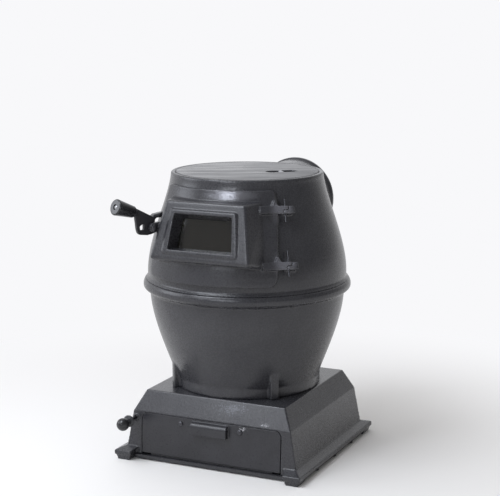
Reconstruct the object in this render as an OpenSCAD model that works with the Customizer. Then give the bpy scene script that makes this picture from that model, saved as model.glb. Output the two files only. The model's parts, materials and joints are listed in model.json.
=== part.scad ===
// Potbelly stove: a square ash base with a drawer and a shaking grate, a round cast pot,
// a barrel with a leaning, glazed feed door, a lift-off lid and a flue collar at the back.
// Lengths are millimetres, +Z is up and z = 0 is the floor. The stove's round pieces share
// one upright axis, and angles round it are measured from the front, positive to the right.

/* [Body stack] */
// Height of the ash base, from the floor to the plate that the pot stands on
base_h = 142.3; // [125:0.1:160]
// Height of the fire pot, from the base plate to the joint in the belt
pot_h = 222.7; // [210:0.1:240]
// Height of the barrel, from the joint in the belt to the rim
barrel_h = 218.5; // [212:0.5:226]
// Thickness of the cast walls
wall = 7; // [5:0.5:8]
// Gap between pieces that are only laid on or slid into each other
seat_gap = 0.3; // [0.2:0.05:0.5]

/* [Pot and belt] */
// Outer radius of the pot's upright foot
pot_foot_r = 150; // [146:0.5:151]
// Height of the pot's upright foot
pot_foot_h = 21.2; // [15:0.1:28]
// Outer radius of the pot just under the belt
pot_r = 200.2; // [196:0.1:202]
// How far the belt, the widest point of the stove, stands out of the barrel
belt_out = 9.2; // [6:0.1:12]
// Height of the belt's lower half, which is cast on the pot
belt_h = 25; // [22:0.5:30]
// Width of the four upright lugs at the pot's foot
pot_lug_w = 17; // [14:0.5:22]
// Outer radius of the four lugs
pot_lug_r = 162; // [160:0.5:165]

/* [Barrel and lid] */
// Outer radius of the barrel just above the belt
barrel_r0 = 204.7; // [202:0.1:207]
// Outer radius of the barrel's rim
rim_r = 154.7; // [152:0.1:158]
// Height of the barrel's flange, the upper half of the belt
flange_h = 5; // [4:0.5:8]
// Radius of the lid
lid_r = 145.6; // [142:0.1:147]
// Gap between the lid and its seat, all round
lid_gap = 0.4; // [0.3:0.1:1]
// Thickness of the lid, and so the depth of its seat
lid_t = 6.5; // [5:0.5:8]
// Inner radius of the ledge that the lid rests on
ledge_r = 130; // [124:0.5:136]

/* [Lid lifter pocket] */
// Distance of the pocket from the middle of the lid
pocket_pos_r = 70.3; // [60:0.1:76]
// Length of the pocket
pocket_l = 64; // [50:1:70]
// Width of the pocket
pocket_w = 24; // [18:1:28]
// Depth of the pocket
pocket_depth = 8.5; // [8:0.5:10]
// Width of the bar across the pocket
pocket_bar_w = 8; // [6:0.5:12]
// Thickness of the bar across the pocket
pocket_bar_t = 3.5; // [2.5:0.5:4]

/* [Ash base] */
// Width of the plate on top of the base
plate_w = 309; // [306:1:314]
// Depth of the plate on top of the base
plate_d = 310; // [306:1:314]
// Width of the base at its shoulder
shoulder_w = 350; // [346:1:356]
// Depth of the base at its shoulder
shoulder_d = 351.2; // [348:0.1:356]
// Height of the shoulder above the floor
shoulder_z = 100.8; // [98:0.1:106]
// Width of the base at the foot of its walls
foot_w = 377.6; // [374:0.1:382]
// Depth of the base at the foot of its walls
foot_d = 358.8; // [356:0.1:362]
// Height of the foot of the walls, where the bottom flange starts
foot_z = 26.5; // [25:0.5:30]
// Width over the bottom flange
skirt_w = 413; // [408:1:418]
// Depth over the bottom flange
skirt_d = 406; // [400:1:410]
// Height of the flange's outer edge
skirt_z = 19.7; // [18:0.1:21]
// Thickness of the base's walls
base_wall = 5; // [4:0.5:6]
// Thickness of the plate on top of the base
base_top_t = 7; // [6:0.5:8]
// Inward lean of each foot, from its top to the floor
foot_lean = 4; // [2:0.5:6]
// Size of a foot at its top, along the width of the stove
foot_size_x = 36.5; // [30:0.5:40]
// Size of a foot at its top, along the depth of the stove
foot_size_y = 44; // [36:1:50]

/* [Bottom plate] */
// Thickness of the bottom plate
bottom_t = 7; // [5:0.5:7]
// Height of the bottom plate's top face above the floor
bottom_z = 10.5; // [10:0.5:12]
// Height of the two rails that guide the ash pan
rail_h = 8; // [5:1:12]
// Thickness of the two rails
rail_t = 3; // [2:0.5:5]

/* [Drawer] */
// Width of the drawer front
drawer_w = 309.4; // [304:0.1:310]
// Height of the drawer front's lower edge
drawer_z0 = 15; // [13:0.5:20]
// Height of the drawer front's upper edge
drawer_z1 = 99.3; // [96:0.1:99.5]
// Thickness of the drawer front
drawer_t = 5; // [4:0.5:6]
// Radius of the drawer front's upper corners
drawer_corner = 12; // [8:0.5:16]
// Gap between the drawer front and the opening it closes
drawer_gap = 0.6; // [0.4:0.1:1]
// Width of the hooded pull
pull_w = 80; // [70:1:90]
// Distance from the drawer front's upper edge down to the pull
pull_drop = 4; // [1:0.5:8]
// How far the pull stands out of the drawer front
pull_out = 13; // [11:0.5:15]
// Height of the pull
pull_h = 25; // [20:0.5:28]
// Wall of the pull
pull_wall = 3; // [2.5:0.5:4]
// Width of the ash pan
pan_w = 272; // [260:1:276]
// Height of the ash pan's sides
pan_h = 69; // [60:1:70]
// Depth of the ash pan, behind the drawer front
pan_d = 336; // [320:1:338]
// Thickness of the ash pan's sheet
pan_t = 1.6; // [1.2:0.1:2]
// Distance between the two bolts that hold the drawer front
pan_bolt_span = 132; // [110:1:160]
// Radius of the bolts that hold the drawer front
pan_bolt_r = 2.5; // [2:0.25:3]

/* [Grate and shaker] */
// Radius of the round grate
grate_r = 116.5; // [112:0.5:118]
// Thickness of the grate
grate_t = 8; // [7:0.5:10]
// Gap between the grate's edge and its frame
grate_gap = 1.5; // [1:0.1:2]
// Width of each slot in the grate
slot_w = 9; // [7:0.5:10]
// Distance from slot to slot
slot_pitch = 20; // [18:1:24]
// Radius of the pin that turns the grate
arm_pin_r = 4; // [3:0.25:4.5]
// Running clearance round the pin, in the shaker's eye
pin_gap = 0.1; // [0.05:0.01:0.1]
// Distance of the shaker rod from the middle of the stove, to the left
rod_x = 168.5; // [168:0.1:169]
// Distance from the shaker rod in to the pin that turns the grate
arm_inset = 18.5; // [17.5:0.5:20.5]
// Height of the shaker rod
rod_z = 87; // [86:0.5:89]
// Radius of the shaker rod
rod_r = 3.5; // [3:0.1:3.6]
// Running clearance round the rod, in the base's front wall
rod_gap = 0.08; // [0.05:0.01:0.1]
// Distance from the front wall to the middle of the ball knob
knob_reach = 55; // [50:1:60]
// Radius of the ball knob
knob_r = 13; // [11:0.1:13.2]
// Distance from the front wall to the bell collar on the rod
collar_reach = 30; // [24:1:32]
// Radius of the bell collar
collar_disc_r = 12.5; // [10:0.5:13]

/* [Feed door] */
// Distance from the stove's axis to the door's face, at the face's reference height
face_y = 216.54; // [214:0.1:218]
// Reference height on the face, above the joint in the belt
face_up = 85; // [83:0.5:87]
// Backward lean of the face, in degrees
face_lean = 14.58; // [13:0.1:16]
// Half width of the face at its top edge
face_top_w = 87.3; // [84:0.1:90]
// Half width of the face at its bottom edge
face_bot_w = 107.3; // [104:0.1:110]
// Top edge of the face, measured up the lean from the reference height
face_top_v = 96.4; // [94:0.2:98]
// Bottom edge of the face, measured down the lean from the reference height
face_bot_v = 22.3; // [20:0.1:24]
// Rounding of the box's edges
box_round = 7; // [5:0.5:8]
// Thickness of the door's castings
door_wall = 6.5; // [5:0.5:7]
// Gap between the barrel and the door's flange
door_gap = 0.5; // [0.4:0.1:0.8]
// Thickness of the door's flange
door_flange_t = 8; // [6:0.5:9]
// Half width of the door's opening at its foot
hole_bot_w = 107; // [104:0.5:110]
// Half width of the door's opening at its top
hole_top_w = 88; // [86:0.5:90]
// Height of the opening's foot above the joint in the belt
hole_z0 = 40; // [39:0.5:43]
// Height of the opening's top above the joint in the belt
hole_z1 = 182; // [179:0.5:183]
// Width of the sealing rope round the opening
rope_w = 7; // [6:0.5:8]

/* [Door window] */
// Half width of the window at its top
win_top_w = 61.8; // [58:0.1:64]
// Half width of the window at its bottom
win_bot_w = 68.9; // [66:0.1:71]
// Top of the window, up the lean from the reference height
win_top_v = 72.2; // [68:0.1:74]
// Bottom of the window, up the lean from the reference height
win_bot_v = 0.8; // [-2:0.1:4]
// Height of the raised frame round the window
frame_out = 4; // [3:0.5:5]
// Depth of the window's funnel behind the face
reveal_d = 26; // [22:0.5:27]
// How much the funnel narrows on each side
reveal_in = 6.6; // [5:0.1:8]
// Thickness of the glass
glass_t = 4; // [3:0.5:5]
// Thickness of the gasket in front of the glass
glass_seal_t = 1.5; // [1:0.1:2]

/* [Hinges] */
// Height of the upper eye above the joint in the belt
upper_eye_up = 163.4; // [160:0.1:166]
// Height of the lower eye above the joint in the belt
lower_eye_up = 59.4; // [57:0.1:62]
// Angle of the upper eye round the barrel
upper_eye_az = 48.8; // [48:0.1:50]
// Angle of the lower eye round the barrel
lower_eye_az = 47; // [46.5:0.1:48]
// Distance from the barrel to the hinge axis
hinge_out = 14; // [13:0.1:15]
// Radius of the hinge pins
hinge_pin_r = 2.25; // [2:0.05:2.5]
// Running clearance of the hinge pins in the door's eyes
hinge_gap = 0.07; // [0.05:0.01:0.1]
// Outer radius of the eyes
eye_r = 6.5; // [6:0.1:7]
// Height of each hinge strap
strap_h = 15; // [13:0.5:17]

/* [Door latch] */
// Place of the latch pivot, left of the stove's middle
latch_x = 112; // [110:0.5:114]
// Place of the latch pivot, in front of the stove's middle
latch_y = 206; // [204:0.5:208]
// Height of the latch pivot above the joint in the belt
latch_up = 125.4; // [123:0.2:128]
// Angle of the lever's plane round the barrel, to the left
latch_turn = 24; // [22:0.5:26]
// Thickness of the lever's plate
lever_t = 6; // [5:0.5:6.5]
// Thickness of the ear that carries the pivot
ear_t = 8.7; // [8:0.1:9]
// Radius of the pivot bolt
latch_bolt_r = 4; // [3:0.25:4.5]
// Slope of the grip, in degrees
grip_slope = 18.4; // [15:0.1:22]
// Length of the grip
grip_l = 44.4; // [40:0.2:50]
// Radius of the grip at its lever end
grip_r0 = 11.5; // [10:0.5:12]
// Radius of the grip at its free end
grip_r1 = 16; // [14:0.5:17]
// Radius of the rounded rim at the grip's free end
grip_edge = 3; // [2:0.5:4]

/* [Flue collar] */
// Radius inside the collar, for the stove pipe
flue_bore_r = 76.5; // [75:0.1:78]
// Radius outside the collar
flue_r = 83.5; // [82:0.5:84]
// Height of the collar's axis above the joint in the belt
flue_up = 130; // [128:0.5:131]
// Distance from the stove's axis to the collar's mouth
flue_reach = 262; // [240:1:280]
// Depth that the stove pipe goes into the collar
socket_l = 50; // [40:1:50]
// Length of the bead at the mouth
bead_l = 12; // [8:1:16]
// Height of the bead
bead_out = 4; // [2:0.5:5]
// Radius of the saddle that bolts to the barrel
saddle_r = 103; // [100:0.5:105]
// Thickness of the saddle
saddle_t = 6; // [5:0.5:7]
// Thickness of the gasket under the saddle
gasket_t = 1.5; // [1:0.1:2]

/* [Hidden] */
$fn = 64;
eps = 0.01;
far = 400;

iron = "#48484c";
iron_dark = "#3a3a3d";
steel = "#8d8d90";

// Heights of the joints in the stack
joint_z = base_h + pot_h;
top_z = joint_z + barrel_h;

function lerp(a, b, t) = a + (b - a) * t;
function unit(v) = v / norm(v);
function flip(list) = [for (i = [len(list) - 1 : -1 : 0]) list[i]];
function bez(p, t) =
    pow(1 - t, 3) * p[0] + 3 * pow(1 - t, 2) * t * p[1]
    + 3 * (1 - t) * t * t * p[2] + pow(t, 3) * p[3];
// Parameter at which a rising curve reaches the height z, by halving
function bez_at(p, z, lo = 0, hi = 1, n = 18) =
    n == 0 ? (lo + hi) / 2
    : let (m = (lo + hi) / 2) bez(p, m)[1] < z
        ? bez_at(p, z, m, hi, n - 1) : bez_at(p, z, lo, m, n - 1);

// Outline of the barrel: upright at the belt and nearly upright again at the rim
barrel_z0 = joint_z + flange_h + 7;
barrel_len = top_z - barrel_z0;
barrel_curve = [
    [barrel_r0, barrel_z0],
    [barrel_r0, barrel_z0 + 0.341 * barrel_len],
    [rim_r + 2.6, top_z - 0.24 * barrel_len],
    [rim_r, top_z]
];
// Outline of the pot: leaning out of its foot and upright under the belt
pot_z0 = base_h + pot_foot_h;
pot_z1 = joint_z - belt_h;
pot_len = pot_z1 - pot_z0;
pot_curve = [
    [pot_foot_r, pot_z0],
    [pot_foot_r + 10.6, pot_z0 + 0.192 * pot_len],
    [pot_r - 0.4, pot_z1 - 0.337 * pot_len],
    [pot_r, pot_z1]
];

// The curves are cut into rings, and everything laid on them uses the same rings
RINGS = 16;
function ring_z(c, i) = lerp(c[0][1], c[3][1], i / RINGS);
function ring_table(c) = [for (i = [0 : RINGS]) bez(c, bez_at(c, ring_z(c, i)))[0]];
barrel_rings = ring_table(barrel_curve);
pot_rings = ring_table(pot_curve);
function ring_lookup(c, table, z) =
    let (s = (z - c[0][1]) / (c[3][1] - c[0][1]) * RINGS)
    s <= 0 ? table[0]
    : s >= RINGS ? table[RINGS]
    : lerp(table[floor(s)], table[floor(s) + 1], s - floor(s));
function barrel_r(z) = ring_lookup(barrel_curve, barrel_rings, z);
// Upward tilt of the barrel's outward normal, in degrees
function barrel_tilt(z) = atan2(barrel_r(z - 2) - barrel_r(z + 2), 4);
// Points of a curve moved sideways by off, between two heights
function side(c, table, off, z1, z2) = concat(
    [[ring_lookup(c, table, z1) + off, z1]],
    [for (i = [0 : RINGS]) let (z = ring_z(c, i))
        if (z > z1 + 0.5 && z < z2 - 0.5) [table[i] + off, z]],
    [[ring_lookup(c, table, z2) + off, z2]]
);
function barrel_side(off, z1, z2) = side(barrel_curve, barrel_rings, off, z1, z2);
function pot_side(off, z1, z2) = side(pot_curve, pot_rings, off, z1, z2);

// Points of a convex outline whose corners are rounded by r
function corner(a, b, c, r, n = 5) =
    let (
        u = unit(a - b), v = unit(c - b), half = acos(u * v) / 2,
        mid = b + unit(u + v) * r / sin(half),
        p = b + u * r / tan(half) - mid, q = b + v * r / tan(half) - mid,
        t0 = atan2(p[1], p[0]), t1 = atan2(q[1], q[0]),
        turn = t1 - t0 > 180 ? t1 - t0 - 360 : t1 - t0 < -180 ? t1 - t0 + 360 : t1 - t0
    )
    [for (i = [0 : n]) mid + r * [cos(t0 + turn * i / n), sin(t0 + turn * i / n)]];
function rounded(pts, r, n = 5) = [
    for (i = [0 : len(pts) - 1])
        each corner(pts[(i + len(pts) - 1) % len(pts)], pts[i], pts[(i + 1) % len(pts)], r, n)
];
// A symmetric four-sided outline: half width w0 at height y0, half width w1 at height y1
function trapezium(w0, y0, w1, y1) = [[-w0, y0], [w0, y0], [w1, y1], [-w1, y1]];

// Ring between two sideways offsets of the barrel's outline
module barrel_shell(off1, off2, z1, z2) {
    rotate_extrude($fn = 96)
        polygon(concat(barrel_side(off1, z1, z2), flip(barrel_side(off2, z1, z2))));
}

// Everything inside a sideways offset of the barrel's outline
module barrel_core(off, z1, z2) {
    rotate_extrude($fn = 96)
        polygon(concat([[0, z1]], barrel_side(off, z1, z2), [[0, z2]]));
}

// Place on the barrel: local z leaves the surface at a right angle, local y climbs it
module on_barrel(az, z, out = 0) {
    rotate([0, 0, az])
        translate([0, -barrel_r(z), z])
            rotate([90 - barrel_tilt(z), 0, 0])
                translate([0, 0, out])
                    children();
}

// Extrusions along the stove's depth (an x-z outline) and its width (a y-z outline)
module along_y(y1, y2) {
    translate([0, y2, 0])
        rotate([90, 0, 0])
            linear_extrude(y2 - y1)
                children();
}
module along_x(x1, x2) {
    translate([x1, 0, 0])
        rotate([90, 0, 90])
            linear_extrude(x2 - x1)
                children();
}

// Bolt along +z with its head above z = 0 and its shank below
module domed_bolt(r, shank, head_r, head_h) {
    translate([0, 0, -shank])
        cylinder(r = r, h = shank + eps);
    rotate_extrude()
        polygon(concat([[0, 0], [head_r, 0]],
            [for (a = [0 : 15 : 90]) [head_r * cos(a), head_h * (0.3 + 0.7 * sin(a))]]));
}
module hex_bolt(r, shank, head_r, head_h) {
    translate([0, 0, -shank])
        cylinder(r = r, h = shank + eps);
    cylinder(r = head_r, h = head_h, $fn = 6);
}

// ---------------------------------------------------------------- ash base

// Half width and half depth of the base's outside at a height between foot and shoulder
function wall_x(z) = lerp(foot_w, shoulder_w, (z - foot_z) / (shoulder_z - foot_z)) / 2;
function wall_y(z) = lerp(foot_d, shoulder_d, (z - foot_z) / (shoulder_z - foot_z)) / 2;
// The same on the slope between shoulder and top plate
function slope_at(low, high, z) = lerp(low, high, (z - shoulder_z) / (base_h - shoulder_z)) / 2;
wall_lean = atan2((foot_d - shoulder_d) / 2, shoulder_z - foot_z);

function base_outline(top, shoulder, foot, skirt) = [
    [-skirt / 2, bottom_z], [skirt / 2, bottom_z], [skirt / 2, skirt_z], [foot / 2, foot_z],
    [shoulder / 2, shoulder_z], [top / 2, base_h], [-top / 2, base_h],
    [-shoulder / 2, shoulder_z], [-foot / 2, foot_z], [-skirt / 2, skirt_z]
];
function base_hollow(top, shoulder, foot) =
    let (
        z1 = base_h - base_top_t,
        high = slope_at(shoulder, top, z1) - 1.15 * base_wall,
        mid = shoulder / 2 - base_wall, low = foot / 2 - base_wall
    )
    [[-low, -eps], [low, -eps], [low, foot_z], [mid, shoulder_z - 1], [high, z1], [-high, z1],
     [-mid, shoulder_z - 1], [-low, foot_z]];

foot_x1 = skirt_w / 2;
foot_x0 = foot_x1 - foot_size_x;
foot_y1 = skirt_d / 2;
foot_y0 = foot_y1 - foot_size_y;
arch_r = 13;
arch_x = foot_x0 - arch_r;
pot_bolt_pos = 153;
pot_bolt_r = 4;
plate_screw_x = (foot_w + skirt_w) / 4;
plate_screw_y = [-95, 0, 95];
frame_hole_r = grate_r + grate_gap + wall - 1;
boss_r = 7;
boss_out = 4;

module foot_block() {
    intersection() {
        along_y(foot_y0, foot_y1)
            polygon([[foot_x0 + foot_lean, 0], [foot_x1 - foot_lean - 1.5, 0],
                [foot_x1, skirt_z], [foot_x0, skirt_z]]);
        along_x(foot_x0, foot_x1)
            polygon([[foot_y0 + foot_lean, 0], [foot_y1 - foot_lean, 0],
                [foot_y1, skirt_z], [foot_y0, skirt_z]]);
    }
}

// Opening for the drawer: square at the bottom plate, rounded under the shoulder
module drawer_outline(gap) {
    w = drawer_w / 2 + gap;
    z1 = drawer_z1 + gap;
    r = drawer_corner + gap;
    hi = corner([w, 0], [w, z1], [-w, z1], r, 8);
    polygon(concat([[-w, drawer_z0 - gap], [w, drawer_z0 - gap]], hi,
        flip([for (p = hi) [-p[0], p[1]]])));
}

module ash_base() {
    color(iron_dark)
    difference() {
        union() {
            difference() {
                intersection() {
                    along_y(-far, far)
                        polygon(base_outline(plate_w, shoulder_w, foot_w, skirt_w));
                    along_x(-far, far)
                        polygon(base_outline(plate_d, shoulder_d, foot_d, skirt_d));
                }
                // The flange stands out at the feet only, in front and behind
                for (s = [-1, 1])
                    along_y(s > 0 ? foot_d / 2 : -far, s > 0 ? far : -foot_d / 2) {
                        translate([-arch_x, 0])
                            square([2 * arch_x, foot_z]);
                        for (t = [-1, 1])
                            translate([t * arch_x, foot_z - arch_r])
                                circle(arch_r);
                    }
            }
            for (mx = [0, 1], my = [0, 1])
                mirror([mx, 0, 0])
                    mirror([0, my, 0])
                        foot_block();
            // Boss round the shaker rod
            translate([-rod_x, -wall_y(rod_z) - boss_out, rod_z])
                rotate([-90, 0, 0])
                    cylinder(r = boss_r, h = boss_out + base_wall);
        }
        translate([0, 0, bottom_z])
            intersection() {
                translate([0, 0, -bottom_z])
                    along_y(-far, far)
                        polygon(base_hollow(plate_w, shoulder_w, foot_w));
                translate([0, 0, -bottom_z])
                    along_x(-far, far)
                        polygon(base_hollow(plate_d, shoulder_d, foot_d));
                translate([-far, -far, 0])
                    cube(2 * far);
            }
        along_y(-far, -shoulder_d / 2 + 2 * base_wall) {
            drawer_outline(drawer_gap);
            translate([-drawer_w / 2 - drawer_gap, 0])
                square([drawer_w + 2 * drawer_gap, drawer_z0 + 1]);
        }
        translate([0, 0, base_h - 2 * base_top_t])
            cylinder(r = frame_hole_r, h = 3 * base_top_t);
        translate([-rod_x, -far, rod_z])
            rotate([-90, 0, 0])
                cylinder(r = rod_r + rod_gap, h = far);
        for (a = [45 : 90 : 315])
            rotate([0, 0, a])
                translate([0, -pot_bolt_pos, base_h - 2 * base_top_t])
                    cylinder(r = pot_bolt_r + 0.3, h = 3 * base_top_t);
        for (s = [-1, 1], y = plate_screw_y)
            translate([s * plate_screw_x, y, 0])
                cylinder(r = 2.6, h = skirt_z);
    }
}

module bottom_plate() {
    w = foot_w / 2 + 11;
    d = foot_d / 2 + 4.6;
    nw = foot_x0 - 2;
    nd = foot_y0 - 2;
    color(iron_dark)
    difference() {
        union() {
            translate([0, 0, bottom_z - bottom_t])
                linear_extrude(bottom_t) {
                    square([2 * nw, 2 * d], center = true);
                    square([2 * w, 2 * nd], center = true);
                }
            for (s = [-1, 1])
                translate([s * (pan_w / 2 + rail_t / 2 + 1), 0, bottom_z + rail_h / 2 - eps])
                    cube([rail_t, pan_d - 20, rail_h + 2 * eps], center = true);
        }
        for (s = [-1, 1], y = plate_screw_y)
            translate([s * plate_screw_x, y, 0])
                cylinder(r = 3.1, h = 2 * bottom_z);
    }
}

module plate_screws() {
    color(steel)
    for (s = [-1, 1], y = plate_screw_y)
        translate([s * plate_screw_x, y, bottom_z - bottom_t])
            mirror([0, 0, 1])
                domed_bolt(2.5, skirt_z - 2 - bottom_z + bottom_t, 5, 2.6);
}

// ---------------------------------------------------------------- fire pot

belt_r = barrel_r0 + belt_out;
belt_in = barrel_r0 - wall - 7.7;
// Outer radius where pot and barrel meet
joint_r = lerp(barrel_r0, belt_r, 0.6);
rope_mid = (belt_in + joint_r) / 2;
rope_r = 2.6;
groove_w = 2 * rope_r + 1;
tie_r = 4;
tie_pos = belt_in - 9;
tie_lug_h = 12;
TIES = [-90, 90, 180];

module tie_lugs(z, h) {
    for (a = TIES)
        rotate([0, 0, a])
            translate([0, -tie_pos, z]) {
                cylinder(r = 11, h = h);
                translate([-11, -14, 0])
                    cube([22, 14, h]);
            }
}

module tie_holes() {
    for (a = TIES)
        rotate([0, 0, a])
            translate([0, -tie_pos, joint_z - 2 * tie_lug_h])
                cylinder(r = tie_r + 0.3, h = 4 * tie_lug_h);
}

module fire_pot() {
    color(iron)
    difference() {
        union() {
            difference() {
                union() {
                    rotate_extrude($fn = 96)
                        polygon(concat(
                            [[0, base_h - 2], [pot_foot_r, base_h - 2]],
                            pot_side(0, pot_z0, pot_z1),
                            [[lerp(pot_r, belt_r, 0.75), joint_z - 0.8 * belt_h],
                             [belt_r, joint_z - 0.64 * belt_h],
                             [belt_r - 0.1, joint_z - 0.32 * belt_h],
                             [joint_r, joint_z], [0, joint_z]]
                        ));
                    // Upright lugs over the bolts, running out into the pot's wall
                    for (a = [45 : 90 : 315])
                        rotate([0, 0, a])
                            translate([-pot_lug_w / 2, -pot_lug_r, base_h - 2])
                                cube([pot_lug_w, pot_lug_r / 2, 56]);
                }
                rotate_extrude($fn = 96)
                    polygon(concat(
                        [[0, base_h - 3], [pot_foot_r - wall - 1, base_h - 3]],
                        pot_side(-wall, pot_z0, pot_z1),
                        [[belt_in, joint_z - 0.5 * belt_h], [belt_in, joint_z + 1],
                         [0, joint_z + 1]]
                    ));
            }
            tie_lugs(joint_z - tie_lug_h, tie_lug_h);
        }
        // Machined flat under foot and lugs alike
        translate([0, 0, base_h - 4])
            cylinder(r = pot_lug_r + 10, h = 4);
        rotate_extrude($fn = 96)
            translate([rope_mid - groove_w / 2, joint_z - groove_w])
                square([groove_w, 2 * groove_w]);
        for (a = [45 : 90 : 315])
            rotate([0, 0, a])
                translate([0, -pot_bolt_pos, base_h - 1])
                    cylinder(r = pot_bolt_r + 0.1, h = 26);
        tie_holes();
    }
}

module pot_bolts() {
    color(steel)
    for (a = [45 : 90 : 315])
        rotate([0, 0, a])
            translate([0, -pot_bolt_pos, base_h - base_top_t])
                mirror([0, 0, 1])
                    hex_bolt(pot_bolt_r, base_top_t + 22, 7, 5.3);
}

module belt_rope() {
    color("#c9c3b4")
    rotate_extrude($fn = 96)
        translate([rope_mid, joint_z - rope_r - 0.1])
            circle(rope_r, $fn = 20);
}

// ---------------------------------------------------------------- barrel

lid_z = top_z - lid_t;
ledge_t = wall;
hole_r = 12;
flue_z = joint_z + flue_up;
outlet_r = flue_bore_r - 6.5;
outlet_z = flue_z - 8;

module door_hole(grow) {
    along_y(-far, 0)
        polygon(rounded(trapezium(hole_bot_w + grow, joint_z + hole_z0 - grow,
            hole_top_w + grow, joint_z + hole_z1 + grow), hole_r + grow));
}

// Hinge frames: x points along the strap to the door, y out of the barrel, z up the axis
function eye(az, z) = (barrel_r(z) + hinge_out) * [sin(az), -cos(az), 0] + [0, 0, z];
upper_eye = eye(upper_eye_az, joint_z + upper_eye_up);
lower_eye = eye(lower_eye_az, joint_z + lower_eye_up);
hinge_dir = unit(upper_eye - lower_eye);
function hinge_out_dir(az) =
    let (o = [sin(az), -cos(az), 0]) unit(o - (o * hinge_dir) * hinge_dir);

module at_hinge(p, az) {
    y = hinge_out_dir(az);
    x = cross(y, hinge_dir);
    z = hinge_dir;
    multmatrix([[x[0], y[0], z[0], p[0]], [x[1], y[1], z[1], p[1]], [x[2], y[2], z[2], p[2]],
                [0, 0, 0, 1]])
        children();
}
module at_hinges() {
    at_hinge(upper_eye, upper_eye_az)
        children();
    at_hinge(lower_eye, lower_eye_az)
        children();
}

eye_gap = 0.2;
lug_len = 20;
lug_top = 4.5;
lug_root = hinge_out + 4;

// Barrel's half of a hinge: a block behind the pin and an ear under the door's eye
module barrel_lug() {
    difference() {
        union() {
            translate([-lug_len, -lug_root, -strap_h / 2])
                cube([lug_len, lug_root + lug_top, strap_h]);
            translate([0, 0, -strap_h / 2])
                cylinder(r = eye_r, h = strap_h / 2 - eye_gap);
        }
        translate([0, 0, -eye_gap])
            cylinder(r = eye_r + 0.8, h = strap_h);
        translate([0, 0, -strap_h])
            cylinder(r = hinge_pin_r + 0.02, h = 2 * strap_h);
    }
}

// Keeper: a hook that the latch's nose rises behind
latch_z = joint_z + latch_up;
keeper_az = -46.7;
keeper_w = 18;
keeper_x = 128.6;
nose_r = 191;
nose_t = 5;
keeper_gap = 3;
keeper_lip = 7;
keeper_roof_z = latch_z + 6.6;
keeper_lip_z = latch_z - 3.4;
keeper_r1 = nose_r + nose_t / 2 + keeper_gap + keeper_lip;

module keeper() {
    difference() {
        rotate([0, 0, keeper_az])
            along_x(-keeper_w / 2, keeper_w / 2)
                polygon([
                    [-keeper_r1 + keeper_lip, keeper_lip_z], [-keeper_r1 + 1, keeper_lip_z],
                    [-keeper_r1, keeper_lip_z + 2], [-keeper_r1, keeper_roof_z + 3],
                    [-keeper_r1 + 4, keeper_roof_z + keeper_lip],
                    [-barrel_r(keeper_roof_z) + 3, keeper_roof_z + keeper_lip + 5],
                    [-barrel_r(keeper_roof_z) + 3, keeper_roof_z],
                    [-keeper_r1 + keeper_lip, keeper_roof_z]
                ]);
        // Clear of the door's flange, which swings out beside it
        translate([-keeper_x, -far, 0])
            cube([far, far, far + joint_z]);
    }
}

// Places of the collar's bolts: angle round the barrel from the back, and height
collar_bolt_ring = 92.5;
COLLAR_BOLTS = [for (dz = [26, -57], s = [-1, 1])
    let (z = flue_z + dz, dx = sqrt(pow(collar_bolt_ring, 2) - dz * dz))
    [s * asin(dx / (barrel_r(z) + saddle_t)), z]];
collar_bolt_r = 3;

module upper_body() {
    color(iron)
    difference() {
        union() {
            difference() {
                union() {
                    rotate_extrude($fn = 96)
                        polygon(concat(
                            [[0, joint_z], [joint_r, joint_z],
                             [barrel_r0 - 0.5, joint_z + flange_h]],
                            barrel_side(0, barrel_z0, top_z - 1.5),
                            [[rim_r - 1.5, top_z], [0, top_z]]
                        ));
                    at_hinges()
                        barrel_lug();
                    keeper();
                }
                rotate_extrude($fn = 96)
                    polygon(concat(
                        [[0, joint_z - 1], [belt_in, joint_z - 1], [belt_in, joint_z + flange_h]],
                        barrel_side(-wall, barrel_z0 + 4, lid_z - ledge_t),
                        [[ledge_r, lid_z - ledge_t], [ledge_r, lid_z],
                         [lid_r + lid_gap, lid_z], [lid_r + lid_gap, top_z + 1],
                         [0, top_z + 1]]
                    ));
            }
            tie_lugs(joint_z, tie_lug_h);
        }
        door_hole(0);
        translate([0, far / 2, outlet_z])
            rotate([90, 0, 0])
                cylinder(r = outlet_r, h = far / 2);
        for (b = COLLAR_BOLTS)
            on_barrel(180 + b[0], b[1], -2 * wall)
                cylinder(r = collar_bolt_r + 0.2, h = 4 * wall);
        tie_holes();
    }
}

module body_bolts() {
    color(steel)
    for (a = TIES)
        rotate([0, 0, a])
            translate([0, -tie_pos, joint_z + tie_lug_h])
                hex_bolt(tie_r, 2 * tie_lug_h + 9, 6.8, 5.3);
}

module body_nuts() {
    color(steel)
    for (a = TIES)
        rotate([0, 0, a])
            translate([0, -tie_pos, joint_z - tie_lug_h - 6.5])
                difference() {
                    cylinder(r = 7, h = 6.5, $fn = 6);
                    translate([0, 0, -1])
                        cylinder(r = tie_r + 0.02, h = 9);
                }
}

// ---------------------------------------------------------------- lid

pocket_az = 15;
pocket_turn = 41;
pocket_floor = 3;

module stadium(l, w) {
    for (s = [-1, 1])
        translate([s * (l - w) / 2, 0])
            circle(d = w);
    square([l - w, w], center = true);
}

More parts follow.
